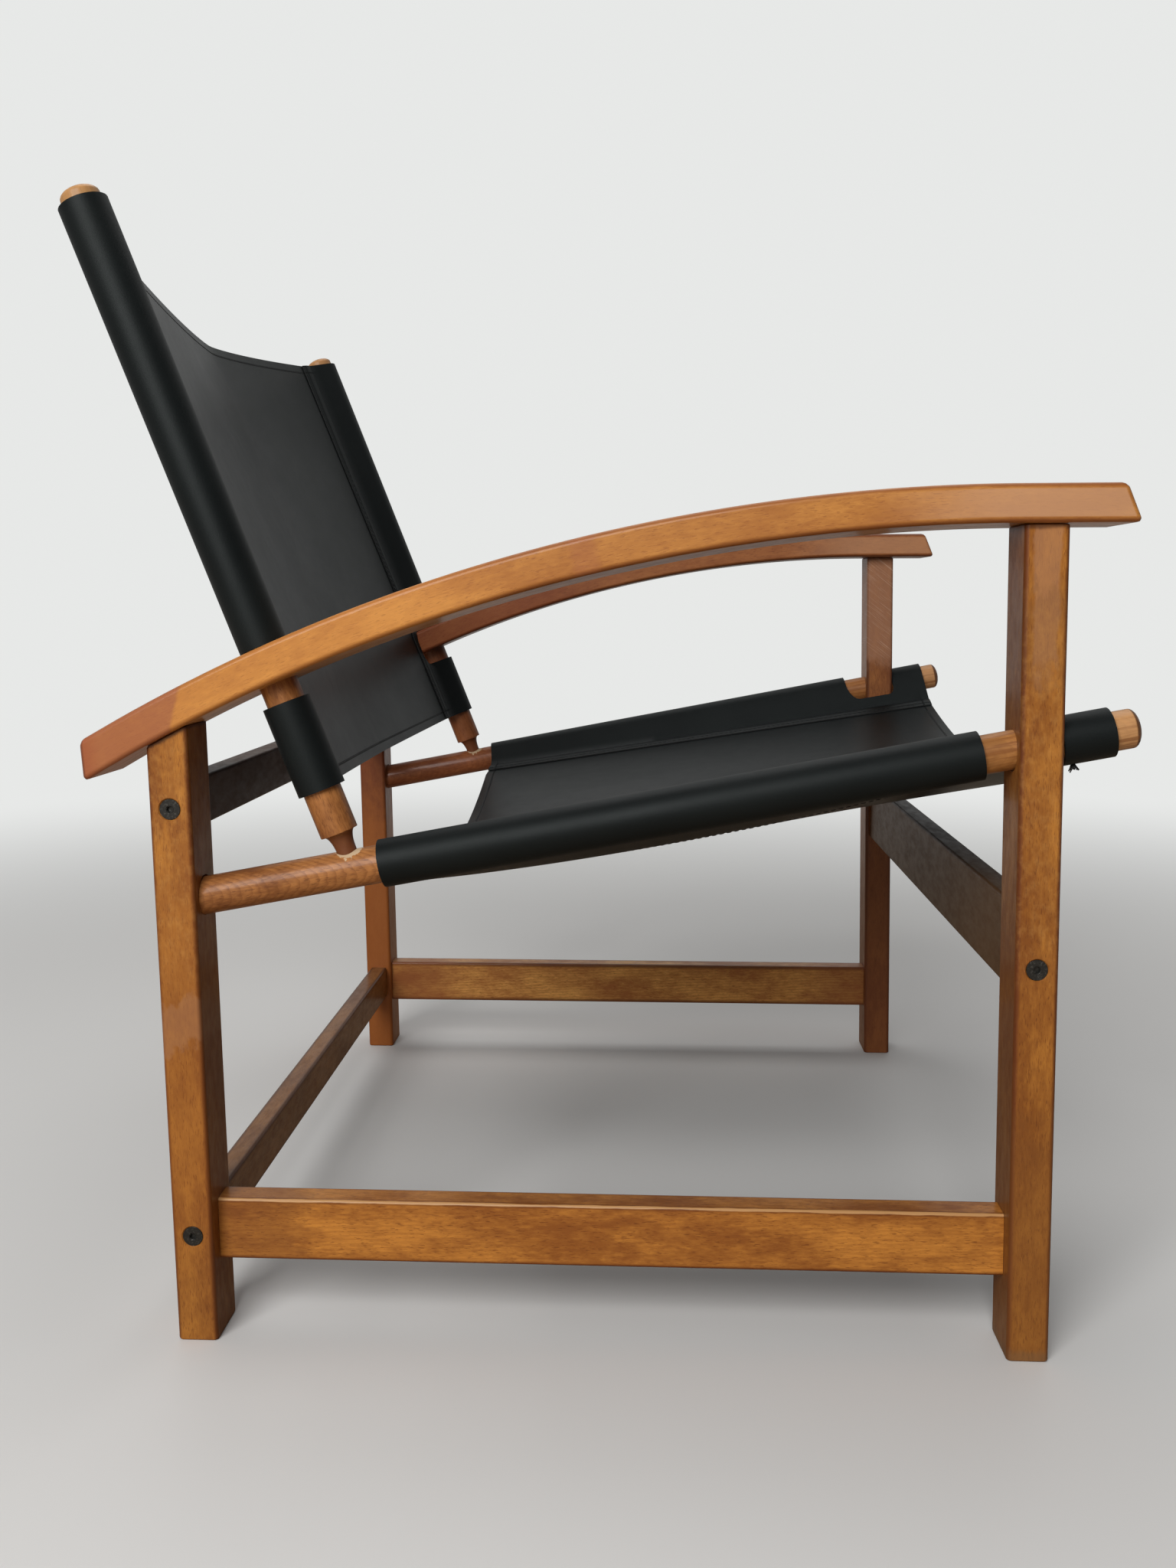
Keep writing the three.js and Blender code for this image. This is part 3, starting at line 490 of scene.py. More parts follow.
def leg_rings(foot, rake, side):
    """Sections of a leg from its sawn foot to its top, which is shaped to the arm's underside."""
    rings = []
    for inset, z in ((1.5, 0), (0.75, 0.2), (0.2, 0.75), (0, 1.5), (0, 60), (0, 160), (0, 260), (0, 360)):
        outline = planed(leg_half[0] - inset, leg_half[1] - inset, leg_edge - inset / 2)
        rings.append([spot(side * leg_x + u, foot + rake * z + v, z) for u, v in outline])
    middle = foot + rake * arm_face(foot, arm_thick)
    for inset, drop in ((0, 0.8), (0.7, 0)):
        ring = []
        for u, v in planed(leg_half[0] - inset, leg_half[1] - inset, leg_edge):
            ring.append(spot(side * leg_x + u, middle + v, arm_face(middle + v, arm_thick) - FIT - drop))
        rings.append(ring)
    return rings


def leg_holes(end, side):
    """Cutters for the seat rod's bore, with rounded mouths, and for the bolts' countersinks."""
    middle = 0
    bore = [(rod_hole, -16.3), (rod_hole, -0.6), (hole_mouth, 0.6), (hole_mouth, 30)]
    if end == "front":
        middle = front_leg_along(0)
        bore = [(hole_mouth, -30), (hole_mouth, -14.2), (rod_hole, -13)]
        bore += [(radius, -height) for radius, height in bore[::-1]]
    cutters = [turned("bore", bore, on_seat_rod(side * leg_x, middle), on_seat_rod(side * leg_x, middle + 1))]
    loose_head, loose_shank, seat_depth = head_radius + 0.3, shank_radius + 0.3, 0.6
    sink = [(head_radius + 0.75, -3), (head_radius + 0.75, 0), (loose_head, seat_depth)]
    sink += [(loose_shank, seat_depth + head_radius - shank_radius), (loose_shank, 60)]
    for where, y, z in bolts.values():
        if where == end:
            cutters.append(turned("sink", sink, spot(side * leg_outer, y, z), spot(0, y, z)))
    return cutters


board = 0
board_step = 3.7  # how far apart the grain of two sticks is drawn
for end in ("front", "rear"):
    for hand, side in SIDES.items():
        foot, rake = leg_foot[end], leg_rake[end]
        leg = skin(f"post_{end}_{hand}", leg_rings(foot, rake, side))
        drill(leg, leg_holes(end, side))
        smooth(leg)
        board += board_step
        sawn(leg, board, lambda x, y, z: (x - side * leg_x, y - foot - rake * z, z - leg_datum))
        settle(leg, leg_finishes[end, hand], f"{end}_leg_{hand}")

# Side stretchers
# Two flat beech bars of 43 x 20 mm low down between the front and rear legs, one on each side.
# They are dowelled and glued against the legs, a little behind the legs' outer faces.
stretcher_half = (21.5, 10)
stretcher_inset, stretcher_lift = 13.5, 52  # from the legs' outer faces, and from the floor
stretcher_x = leg_outer - stretcher_inset - stretcher_half[1]
stretcher_z = stretcher_lift + stretcher_half[0]
bar_edge = 2.2
stretcher_stick = (*stretcher_half, 400)
stretcher_finishes = {
    "right": patched_beech(
        "stretcher beech", stretcher_stick,
        ((0.6, 0.24, 0.042, 1), (0.27, 0.086, 0.016, 1), (0.115, 0.026, 0.007, 1)), 3.4, 0.25, 0,
        [(205, 300, 16, 40, 0, 0.45, (0.17, 0.055, 0.016, 1))],
    ),
    "left": patched_beech(
        "far stretcher beech", stretcher_stick,
        ((0.78, 0.39, 0.1, 1), (0.36, 0.13, 0.034, 1), (0.12, 0.034, 0.011, 1)), 5.0, 0.4, 0,
        [
            (190, 300, 25, 40, 0, 0.5, (0.28, 0.085, 0.03, 1)),
            (-300, -200, 25, 40, 0, 0.5, (0.28, 0.085, 0.03, 1)),
        ],
    ),
}


def worn_edge_and_highlight(finish, half):
    """A pale line along the upper, outer edge: lacquer worn off there, and a painted highlight on the
    rounding.
    """
    stock, (height, aside, _) = stock_of(finish)
    uneven = clouds(stock, (4, 4, 30), 6.0) - 0.5
    reach = (half[0] - height).larger(aside + half[1]) + uneven * 2.4
    stain_and_light_over(finish, reach.between(1.2, 2.0, 0.65, 0.0), (0.72, 0.4, 0.16, 1))


# The near stretcher's pale upper edge: worn lacquer and painted highlight
worn_edge_and_highlight(stretcher_finishes["right"], stretcher_half)
for hand, side in SIDES.items():
    rings = []
    for end, inward in (("front", 1), ("middle", 0), ("rear", -1)):
        ring = []
        for u, v in planed(stretcher_half[1], stretcher_half[0], bar_edge):
            z = stretcher_z + v
            y = 0
            if inward:
                y = leg_foot[end] + leg_rake[end] * z + inward * (leg_half[1] + 0.1)
            ring.append(spot(side * stretcher_x + u, y, z))
        rings.append(ring)
    bar = skin(f"stretcher_{hand}", rings)
    smooth(bar)
    board += board_step
    sawn(bar, board, lambda x, y, z: (z - stretcher_z, x - side * stretcher_x, y))
    settle(bar, stretcher_finishes[hand], f"side_stretcher_{hand}")

# Dowels
# Plain pegs of raw beech with chamfered ends, glued into the legs, stretchers, rails and arms.
# None shows from outside. The solids stay as they are, in pale unstained wood with its fine streaks.


def two_tone(name, size, detail, limits, tones, rough, metallic=0.0):
    """A finish that wavers between two tones, and what it wavers by."""
    finish, tree, surface = new_finish(name)
    where = Shade(tree, lay(tree, "ShaderNodeTexCoord").outputs["Object"])
    waver = clouds(where, size, 0.0, detail)
    feed(surface["Base Color"], blend(waver.between(*limits), *tones))
    feed(surface["Roughness"], waver.between(0.3, 0.7, *rough) if isinstance(rough, tuple) else rough)
    surface["Metallic"].default_value = metallic
    return finish, waver


def refinish(word, finish):
    """Gives a finish to every solid whose name holds a word."""
    for name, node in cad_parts.items():
        if word in name:
            node.data.materials.clear()
            node.data.materials.append(finish)


peg_wood, _ = two_tone(
    "raw beech", (1 / 900, 1 / 900, 1 / 900), 2.0, (0.35, 0.7),
    ((0.62, 0.44, 0.24, 1), (0.45, 0.29, 0.14, 1)), 0.7,
)
refinish("dowel", peg_wood)

# Arms
# Two beech boards, 61 mm wide and 23 mm thick, straight over the front legs and bent down to the rear.
# They lie on the legs, overhang them on both sides, and each has a bore for a back rod.
arm_half = 30.5
arm_outer = 326
arm_x = arm_outer - arm_half
arm_edge = 3.6
arm_tail = 331.5
arm_turn = math.asin((arm_tail - arm_bend) / arm_radius)
arm_length = arm_bend - arm_nose + arm_radius * arm_turn
nose_slant = 10.0
tail_run = math.tan(arm_turn) - 1.5 / arm_thick
back_tilt = math.radians(21)
back_lean = math.tan(math.radians(0.8))
back_foot = 100.8


def on_back_rod(side, along, behind=0):
    """A place along a back rod from the seat rod's axis, and behind its axis."""
    foot = on_seat_rod(0, back_foot) / MM
    y = foot.y + along * math.sin(back_tilt) + behind * math.cos(back_tilt)
    z = foot.z + along * math.cos(back_tilt) - behind * math.sin(back_tilt)
    return Vector((side * (leg_x - back_lean * along), y, z)) * MM


def along_arm(distance, depth):
    """The place at a distance along the arm's upper face from its nose, and a depth below that face."""
    flat = arm_bend - arm_nose
    if distance <= flat:
        return arm_nose + distance, arm_top - depth
    turn = (distance - flat) / arm_radius
    radius = arm_radius - depth
    return arm_bend + radius * math.sin(turn), arm_centre + radius * math.cos(turn)


def arm_stock(y, z):
    """Distance along the arm and depth of a place in it."""
    if y <= arm_bend:
        return y - arm_nose, arm_top - z
    out = math.hypot(y - arm_bend, z - arm_centre)
    return arm_bend - arm_nose + arm_radius * math.atan2(y - arm_bend, z - arm_centre), arm_radius - out


def arm_rings(side):
    """Sections of an arm from its sawn nose to its tail. The nearer arm was cut a little longer,
    and its inner lower edge bellies down slightly between the legs."""
    nose_extra, tail_extra, belly = (3.0, 1.3, 1.9) if side < 0 else (1.0, 0.0, 0.0)
    stations = [("nose", i / 3) for i in range(4)]
    stations += [("middle", 12 + (arm_length - 40) * i / 52) for i in range(53)]
    stations += [("tail", 1 - i / 3) for i in range(4)]
    rings = []
    for part, value in stations:
        inset = step = 0
        if part != "middle":
            turn = value * math.pi / 2
            inset = arm_edge * (1 - math.sin(turn))
            step = arm_edge * (1 - math.cos(turn))
        ring = []
        for u, v in planed(arm_half - inset, arm_thick / 2 - inset, max(arm_edge - inset, 0.4)):
            depth = arm_thick / 2 - v
            nose = nose_slant * (1 - depth / arm_thick) - nose_extra
            tail = depth * tail_run + tail_extra
            if part == "nose":
                d = step + nose
            elif part == "tail":
                d = arm_length - step + tail
            else:
                d = value + nose * max(0.0, 1 - value / 60) + tail * max(0.0, 1 - (arm_length - value) / 90)
            y, z = along_arm(d, depth)
            share = (y - leg_foot["front"]) / (leg_foot["rear"] - leg_foot["front"])
            inner_low = (u + arm_half) / (2 * arm_half) * depth / arm_thick
            z -= belly * max(0.0, math.sin(math.pi * share)) * inner_low
            ring.append(spot(side * arm_x + u, y, z))
        rings.append(ring)
    return rings


def arm_finish(name, shades, mark_strength, red, red_reach, red_soft):
    """The arm's beech, with a pale pink painted reflection on the nose and redder stain near the tail, all
    its marks scaled by one strength.
    """
    finish = beech_finish(name, (arm_half, arm_thick / 2, arm_length / 2 + 20), shades)
    stock, (across, height, along) = stock_of(finish)
    wander = (clouds(stock, (9, 9, 14), mark_of(finish, "board", "Fac")) - 0.5) * 26.0
    # Pale pink painted reflection, from a little inside the nose to behind the front leg
    from_nose = along + arm_length / 2
    start = from_nose + height * -0.42 + wander * 0.08
    face = abs(height).fades(arm_thick / 2 - 4.0, arm_thick / 2 - 2.8)
    rub_and_sheen = start.between(4.5, 6.0) * (from_nose + wander).fades(70.0, 170.0) * face
    stain_and_light_over(finish, rub_and_sheen * (0.75 * mark_strength), (0.57, 0.31, 0.17, 1))
    # Redder behind a slanting border, deep red towards the sawn tail and dark along its edge
    from_tail = arm_length / 2 - along
    inward = across.between(-arm_half + 1, -arm_half + 14)
    slant = from_tail + height * -0.9 + wander * (inward * 0.9 + 0.12)
    redder = slant.fades(red_reach - red_soft, red_reach + red_soft)
    stain_and_light_over(finish, redder * (0.72 * mark_strength), red)
    from_cut = from_tail + (arm_thick / 2 - height) * tail_run
    stain_and_light_over(finish, (from_cut + wander * 0.3).fades(2.0, 16.0) * (0.6 * mark_strength), (0.33, 0.085, 0.035, 1))
    stain_and_light_over(finish, from_cut.fades(0.6, 2.4) * 0.6, (0.11, 0.03, 0.016, 1))
    # Paler towards the rear, deeper in the middle, and a small red place half way along
    paler = (from_nose + wander).between(360.0, 450.0) - redder
    stain_and_light_over(finish, paler * (0.3 * mark_strength), (0.74, 0.31, 0.07, 1))
    deeper = from_nose.between(150.0, 230.0) * from_nose.fades(300.0, 400.0)
    stain_and_light_over(finish, deeper * (0.25 * mark_strength), (0.34, 0.12, 0.032, 1))
    red_place = abs(from_nose - 334.0).fades(5.0, 11.0) * (1.0 - inward)
    stain_and_light_over(finish, red_place * (0.4 * mark_strength), (0.36, 0.12, 0.05, 1))
    return finish


arm_finishes = {
    "right": arm_finish(
        "arm beech", ((0.62, 0.275, 0.064, 1), (0.4, 0.15, 0.035, 1), (0.25, 0.076, 0.02, 1)),
        1.0, (0.38, 0.13, 0.058, 1), 64, 2,
    ),
    "left": arm_finish(
        "redder arm beech", ((0.38, 0.14, 0.045, 1), (0.24, 0.075, 0.025, 1), (0.12, 0.034, 0.013, 1)),
        0.6, (0.27, 0.06, 0.024, 1), 290, 70,
    ),
}


def back_rod_at_arm():
    """Distance along a back rod at which its axis meets the arm's middle."""
    foot = on_back_rod(1, 0) / MM
    y, z = foot.y - CHAIR_MIDDLE - arm_bend, foot.z - arm_centre
    b = y * math.sin(back_tilt) + z * math.cos(back_tilt)
    return -b + math.sqrt(b * b - y * y - z * z + (arm_radius - arm_thick / 2) ** 2)


crossing = back_rod_at_arm()
for hand, side in SIDES.items():
    arm = skin(f"bent_arm_{hand}", arm_rings(side))
    bore = [(rod_radius + FIT, -44), (rod_radius + FIT, 44)]
    drill(arm, [turned("bore", bore, on_back_rod(side, crossing), on_back_rod(side, crossing + 1))])
    smooth(arm)
    board += board_step

    def arm_place(x, y, z):
        distance, depth = arm_stock(y, z)
        return x - side * arm_x, arm_thick / 2 - depth, distance - arm_length / 2

    sawn(arm, board, arm_place)
    settle(arm, arm_finishes[hand], f"arm_{hand}")

# Cross rails
# Three beech bars between the two sides: a wide one at the front under the seat, two narrow ones at the rear.
# Their square ends butt against the legs, where a bolt and dowels hold each of them.
rail_half = 8.5
rail_end = leg_x - leg_half[0] - 0.2
# Half the height of each rail, and how far its middle lies above its bolt
rail_sizes = {"front": (29, 7), "rear_upper": (16.5, 0), "rear_lower": (16.5, 0)}
# The front and upper rear rails get darker tones than the lower one as painted shade: they stand under the
# seat, away from the light
rail_shades = {
    "front": ((0.115, 0.06, 0.026, 1), (0.106, 0.054, 0.0235, 1), (0.1, 0.05, 0.022, 1)),
    "rear_upper": ((0.085, 0.037, 0.016, 1), (0.072, 0.03, 0.013, 1), (0.05, 0.02, 0.01, 1)),
    "rear_lower": ((0.33, 0.138, 0.036, 1), (0.18, 0.068, 0.018, 1), (0.09, 0.029, 0.01, 1)),
}
for bolt, (end, y, z) in bolts.items():
    half_height, lift = rail_sizes[bolt]
    middle = z + lift
    outline = planed(rail_half, half_height, bar_edge)
    rings = [[spot(x, y + u, middle + v) for u, v in outline] for x in (-rail_end, 0, rail_end)]
    rail = skin(f"crossbar_{bolt}", rings)
    smooth(rail)
    board += board_step
    sawn(rail, board, lambda px, py, pz: (pz - middle, py - y, px))
    finish = beech_finish(f"{bolt} rail beech", (half_height, rail_half, 280), rail_shades[bolt], 4.0, 0.15)
    if bolt != "rear_lower":
        surface_of(finish)["Coat Weight"].default_value = 0.03
        surface_of(finish)["Specular IOR Level"].default_value = 0.1
    settle(rail, finish, f"{bolt}_rail")

# Bushes and bolts
# Threaded brass bushes sit hidden in the rail ends. Black countersunk bolts with hexagon sockets come
# through the legs from outside and screw into them, with their heads just below the lacquer.
bush_brass, _ = two_tone(
    "brass", (1 / 300, 1 / 2500, 1 / 2500), 2.0, (0.35, 0.7),
    ((0.52, 0.38, 0.14, 1), (0.36, 0.25, 0.08, 1)), (0.3, 0.45), 1,
)
refinish("bush", bush_brass)
bolt_black, _ = two_tone(
    "black oxide", (1 / 700, 1 / 700, 1 / 700), 4.0, (0.5, 0.72),
    ((0.03, 0.029, 0.026, 1), (0.1, 0.095, 0.085, 1)), (0.3, 0.5), 0.6,
)
for bolt, (end, y, z) in bolts.items():
    for hand, side in SIDES.items():
        screw_profile = [(head_radius - 0.25, 0), (head_radius, 0.25), (head_radius, 0.5)]
        screw_profile += [(shank_radius, 0.5 + head_radius - shank_radius), (shank_radius, 60)]
        start, inside = spot(side * (leg_outer - FIT), y, z), spot(0, y, z)
        screw = turned(f"bolt_{bolt}_{hand}", screw_profile, start, inside)
        key = turned("key", [(2.3, -2), (2.3, 2.4)], start, inside, 6)
        rim = turned("rim", [(3.2, -0.6), (2.2, 0.35)], start, inside, 24)
        drill(screw, [key, rim])
        smooth(screw, 30)
        settle(screw, bolt_black, f"{bolt}_bolt_{hand}")

# Rods
# Round beech rods of 25 mm. A seat rod is glued into a rear leg, passes through a front leg and ends in a
# dome. A back rod stands on it on a turned neck and peg, passes through the arm and ends in a dome too.
seat_rod_length = 606
shoulder = 25.3
back_rod_length = 431
dome_height = 5.5
neck, neck_top, neck_end = 6.5, rod_radius - 1.7, 12.8
rod_sides = 56
rod_stick = (40, 40, 400)
seat_rod_datum, back_rod_datum = 300, 230
rod_shades = {
    "right": ((0.45, 0.185, 0.055, 1), (0.17, 0.055, 0.016, 1), (0.1, 0.03, 0.01, 1)),
    "left": ((0.33, 0.115, 0.042, 1), (0.18, 0.052, 0.02, 1), (0.1, 0.03, 0.012, 1)),
}
end_grain = (0.085, 0.033, 0.014, 1)


def dome(tip, steps=8):
    """Profile of a rod's rounded end."""
    base = tip - dome_height
    turns = [math.pi / 2 * i / steps for i in range(steps)]
    return [(rod_radius * math.cos(t), base + dome_height * math.sin(t)) for t in turns] + [(0.6, tip)]


def streaked(finish, start):
    """Dark streaks along a rod's grain, forward of a place."""
    stock, (_, _, along) = stock_of(finish)
    streaks = clouds(stock, (2.6, 2.6, 55), 3.0, 3.0, 0.6).between(0.47, 0.62)
    stain_and_light_over(finish, streaks * along.between(start, start + 60, 0.0, 0.6), (0.2, 0.066, 0.018, 1))


def glue_ring(finish, foot):
    """A pale, uneven ring of old glue on the seat rod round the back rod's peg."""
    stock, (across, height, along) = stock_of(finish)
    away = lay(stock.tree, "ShaderNodeCombineXYZ", {0: across, 1: along - foot}).outputs[0]
    uneven = clouds(stock, (2.5, 2.5, 2.5), 1.0) - 0.5
    reach = Shade(stock.tree, away).vector("LENGTH", outlet="Value") + uneven * 11.0
    stain_and_light_over(finish, reach.fades(8.8, 9.5) * height.between(0.0, 2.0) * 0.85, (0.62, 0.47, 0.3, 1))


for hand, side in SIDES.items():
    profile = [(rod_radius, -16), (rod_radius, 100), (rod_radius, 300), (rod_radius, 480)]
    profile += dome(seat_rod_length)
    start, towards = on_seat_rod(side * leg_x, 0), on_seat_rod(side * leg_x, 1)
    rod = turned(f"seat_pole_{hand}", profile, start, towards, rod_sides)
    peg_hole = [(neck + 0.2, -1.8), (neck + 0.2, 26)]
    drill(rod, [turned("socket", peg_hole, on_back_rod(side, 0), on_back_rod(side, 1), 40)])
    smooth(rod, 40)
    board += board_step

    def seat_rod_place(x, y, z):
        dy, dz = y - seat_rod_y, z - seat_rod_z
        along = -dy * math.cos(seat_tilt) + dz * math.sin(seat_tilt)
        return x - side * leg_x, dy * math.sin(seat_tilt) + dz * math.cos(seat_tilt), along - seat_rod_datum

    sawn(rod, board, seat_rod_place)
    finish = patched_beech(f"seat rod beech {hand}", rod_stick, rod_shades[hand], 0.5, 0.42, seat_rod_datum, [
        (440, 700, 40, 60, 0, 0.3, (0.62, 0.3, 0.085, 1)),
        (570, 700, 8, 10, 0, 0.45, (0.7, 0.4, 0.19, 1)),
        (600.9, 700, 0.5, 0.7, 0, 0.9, end_grain),
    ], 0.5)
    streaked(finish, 100)
    glue_ring(finish, back_foot - seat_rod_datum)
    surface_of(finish)["Coat Weight"].default_value = 0.2
    settle(rod, finish, f"seat_rod_{hand}")

    profile = [(neck, -1.5)]
    for i in range(13):
        turn = math.pi / 2 * i / 12
        radius = neck_top - (neck_top - neck) * math.cos(turn)
        profile.append((radius, neck_end + (shoulder - neck_end) * math.sin(turn)))
    profile += [(rod_radius - 0.3, shoulder), (rod_radius, shoulder + 0.4)]
    profile += [(rod_radius, 160), (rod_radius, 320)]
    profile += dome(shoulder + back_rod_length)
    rod = turned(f"back_pole_{hand}", profile, on_back_rod(side, 0), on_back_rod(side, 1), rod_sides)
    smooth(rod, 40)
    board += board_step

    def back_rod_place(x, y, z):
        foot = on_back_rod(side, 0) / MM
        dy, dz = y + CHAIR_MIDDLE - foot.y, z - foot.z
        along = dy * math.sin(back_tilt) + dz * math.cos(back_tilt)
        behind = dy * math.cos(back_tilt) - dz * math.sin(back_tilt)
        return x - side * (leg_x - back_lean * along), behind, along - back_rod_datum

    sawn(rod, board, back_rod_place)
    finish = patched_beech(f"back rod beech {hand}", rod_stick, rod_shades[hand], 0.5, 0.35, back_rod_datum, [
        (-20, 24, 2, 2, 0, 0.8, (0.15, 0.05, 0.02, 1)),
        (158, 186, 6, 20, 0, 0.35, (0.5, 0.33, 0.2, 1)),
        (436, 700, 3, 3, 0, 0.5, (0.62, 0.36, 0.15, 1)),
        (455, 700, 1, 1, 0, 0.3, end_grain),
    ])
    surface_of(finish)["Coat Weight"].default_value = 0.2
    settle(rod, finish, f"back_rod_{hand}")

# Seat sling
# One sheet of thick black leather, folded round both seat rods and sewn down on its upper face with black
# thread. U-shaped notches let the front legs through, and its front and rear edges are stitched.
leather = 2.7
lap_start, flap_end = 28, 41  # from a rod's axis in to the lap under the flap, and to the flap's edge
wrap_slack = 0.55  # between a rod and the leather round it
pared_share, pared_width = 0.4, 6  # how thin a flap's edge is, and how far in it is pared
seam = 38.6
hem_seam = 8
sunk = 0.08  # how far a stitch sinks into the leather
panel_steps, wrap_steps, flap_steps = 64, 26, 6
seat_sling_start = back_foot + 14.2
seat_sling_length = 473
seat_notch_x, seat_hem_x = 276.5, 254  # how far in the notches reach, and how far out the hems' stitches
drawn, drawn_x, drawn_blend, drawn_run = 5.0, 245, 35, 60  # the sleeves' rear ends: how far, where, over what


def tangent_angle(centre, radius, start, hand):
    """Where a line from a place outside touches a circle."""
    away = (start[0] - centre[0], start[1] - centre[1])
    return math.atan2(away[1], away[0]) + hand * math.acos(radius / math.hypot(*away))


def sheet_line(rod_x, lap_depth, sag, sharpness, deepest):
    """Middle line of the leather across the chair: place across and depth below the rods' axes."""
    wrap = rod_radius + wrap_slack + leather / 2
    lap = rod_x - lap_start

    def depth_at(a):
        share = abs(a - deepest) / (lap - deepest if a > deepest else lap + deepest)
        hand = 1 if a > deepest else 0
        return lap_depth[hand] + (sag - lap_depth[hand]) * (1 - share ** sharpness[hand])

    def straight(a, b):
        return [(a[0] + (b[0] - a[0]) * i / 3, a[1] + (b[1] - a[1]) * i / 3) for i in (1, 2)]

    def edge(side):
        flap = []
        for i in range(flap_steps + 1):
            a = side * (rod_x - flap_end + (flap_end - lap_start) * i / flap_steps)
            run = depth_at(a + 0.5) - depth_at(a - 0.5)
            fall = run / math.hypot(1, run)
            lift = leather + FIT
            flap.append((a + lift * fall, depth_at(a) - lift * math.sqrt(1 - fall * fall)))
        centre = (side * rod_x, 0)
        end = (side * lap, depth_at(side * lap))
        upper = tangent_angle(centre, wrap, flap[-1], side)
        lower = tangent_angle(centre, wrap, end, -side)
        turn = (side * (lower - upper)) % (2 * math.pi)
        loop = []
        for i in range(wrap_steps + 1):
            angle = upper + side * turn * i / wrap_steps
            loop.append((centre[0] + wrap * math.cos(angle), wrap * math.sin(angle)))
        return flap + straight(flap[-1], loop[0]) + loop + straight(loop[-1], end)

    places = [lap - 2 * lap * i / panel_steps for i in range(panel_steps + 1)]
    return edge(1) + [(a, depth_at(a)) for a in places] + edge(-1)[::-1]


def line_length(line):
    return sum(math.dist(a, b) for a, b in zip(line, line[1:]))


def skived(from_edge):
    """Thickness of a flap, pared thin along its edge before it is sewn down."""
    return leather * (pared_share + (1 - pared_share) * min(1.0, from_edge / pared_width))


def leather_sheet(name, stations, line_at, place):
    """A closed sheet through stations along the rods, with its raw cut edges as the second material."""
    form = bmesh.new()
    top, low = [], []
    for s in stations:
        line = line_at(s)
        one, other = [], []
        for i, (a, depth) in enumerate(line):
            before, after = line[max(i - 1, 0)], line[min(i + 1, len(line) - 1)]
            run = (after[0] - before[0], after[1] - before[1])
            size = math.hypot(*run) or 1
            normal = (-run[1] / size, run[0] / size)
            full = leather / 2
            pared = skived(math.dist(line[i], line[0] if i < len(line) // 2 else line[-1])) - full
            one.append(form.verts.new(place(a + normal[0] * full, depth + normal[1] * full, s)))
            other.append(form.verts.new(place(a - normal[0] * pared, depth - normal[1] * pared, s)))
        top.append(one)
        low.append(other)
    rows, count = len(top), len(top[0])
    for r in range(rows - 1):
        for i in range(count - 1):
            form.faces.new((top[r][i], top[r][i + 1], top[r + 1][i + 1], top[r + 1][i]))
            form.faces.new((low[r][i], low[r + 1][i], low[r + 1][i + 1], low[r][i + 1]))
    cut = []
    for r in range(rows - 1):
        for i in (0, count - 1):
            cut.append((top[r][i], top[r + 1][i], low[r + 1][i], low[r][i]))
    for r in (0, rows - 1):
        for i in range(count - 1):
            cut.append((top[r][i], low[r][i], low[r][i + 1], top[r][i + 1]))
    for corners in cut:
        form.faces.new(corners).material_index = 1
    return made(name, form)


def notch_outline(side, inner, start, end, corner):
    """A U-shaped notch, as places across and along the rods, open towards the outside."""
    def rounded(cx, cy, from_turn, to_turn, steps=8):
        turns = [from_turn + (to_turn - from_turn) * i / steps for i in range(steps + 1)]
        return [(cx + corner * math.cos(t), cy + corner * math.sin(t)) for t in turns]

    inside = rounded(inner + corner, end - corner, math.pi / 2, math.pi)
    inside += rounded(inner + corner, start + corner, math.pi, 1.5 * math.pi)
    return [(side * a, s) for a, s in [(360, start), (360, end)] + inside]


def leather_group():
    """Black leather: fine pebbled grain, cloudy sheen, grooves along the rows of stitches with painted shade
    in them, and a painted highlight along the hems.
    """
    tree, inlet, outlet = shader_group(
        "black leather",
        {"Vector": ("Place", "Sewn")},
        {"Color": ("Color",), "Float": ("Roughness", "Height")},
    )
    place = inlet["Place"]
    pebble = lay(tree, "ShaderNodeTexVoronoi", {"Vector": place, "Scale": 1300.0}, feature="DISTANCE_TO_EDGE")
    crease = Shade(tree, pebble.outputs[0]).between(0.02, 0.25)
    dapple = clouds(place, (1 / 90, 1 / 90, 1 / 90))
    rub_and_sheen = clouds(place, (1 / 11, 1 / 11, 1 / 11), 2.0)
    from_rod, from_start, from_end = inlet["Sewn"].parts()
    from_hem = from_start.smaller(from_end)
    panel = from_rod.between(22.0, 34.0)
    hem = from_hem.fades(6.0, 7.2) * panel
    along = abs(from_rod - seam).fades(0.3, 0.9)
    across = abs(from_hem - hem_seam).fades(0.4, 1.2)
    groove = along.larger(across * panel)
    dark = blend(rub_and_sheen.between(0.35, 0.7), (0.0038, 0.0052, 0.0056, 1), (0.0058, 0.0076, 0.0078, 1))
    dark = blend(crease * 0.3, dark, (0.008, 0.0098, 0.0095, 1))
    # Lighter band between the hem's stitches and its edge: painted highlight where the edge turns to the
    # light
    dark = blend(hem * 0.5, dark, (0.013, 0.0155, 0.015, 1))
    # Darker along the stitch grooves: painted shade in them
    dark = blend(groove * 0.6, dark, (0.0015, 0.0018, 0.0018, 1))
    gloss = dapple.between(0.3, 0.7, 0.36, 0.38) + rub_and_sheen.between(0.3, 0.7, 0.0, 0.05)
    gloss = gloss + from_rod.between(22.0, 34.0, 0.1, 0.0)
    feed(outlet["Color"], dark)
    feed(outlet["Roughness"], gloss + groove * 0.3)
    feed(outlet["Height"], crease * 0.1 - groove * 0.6)
    return tree


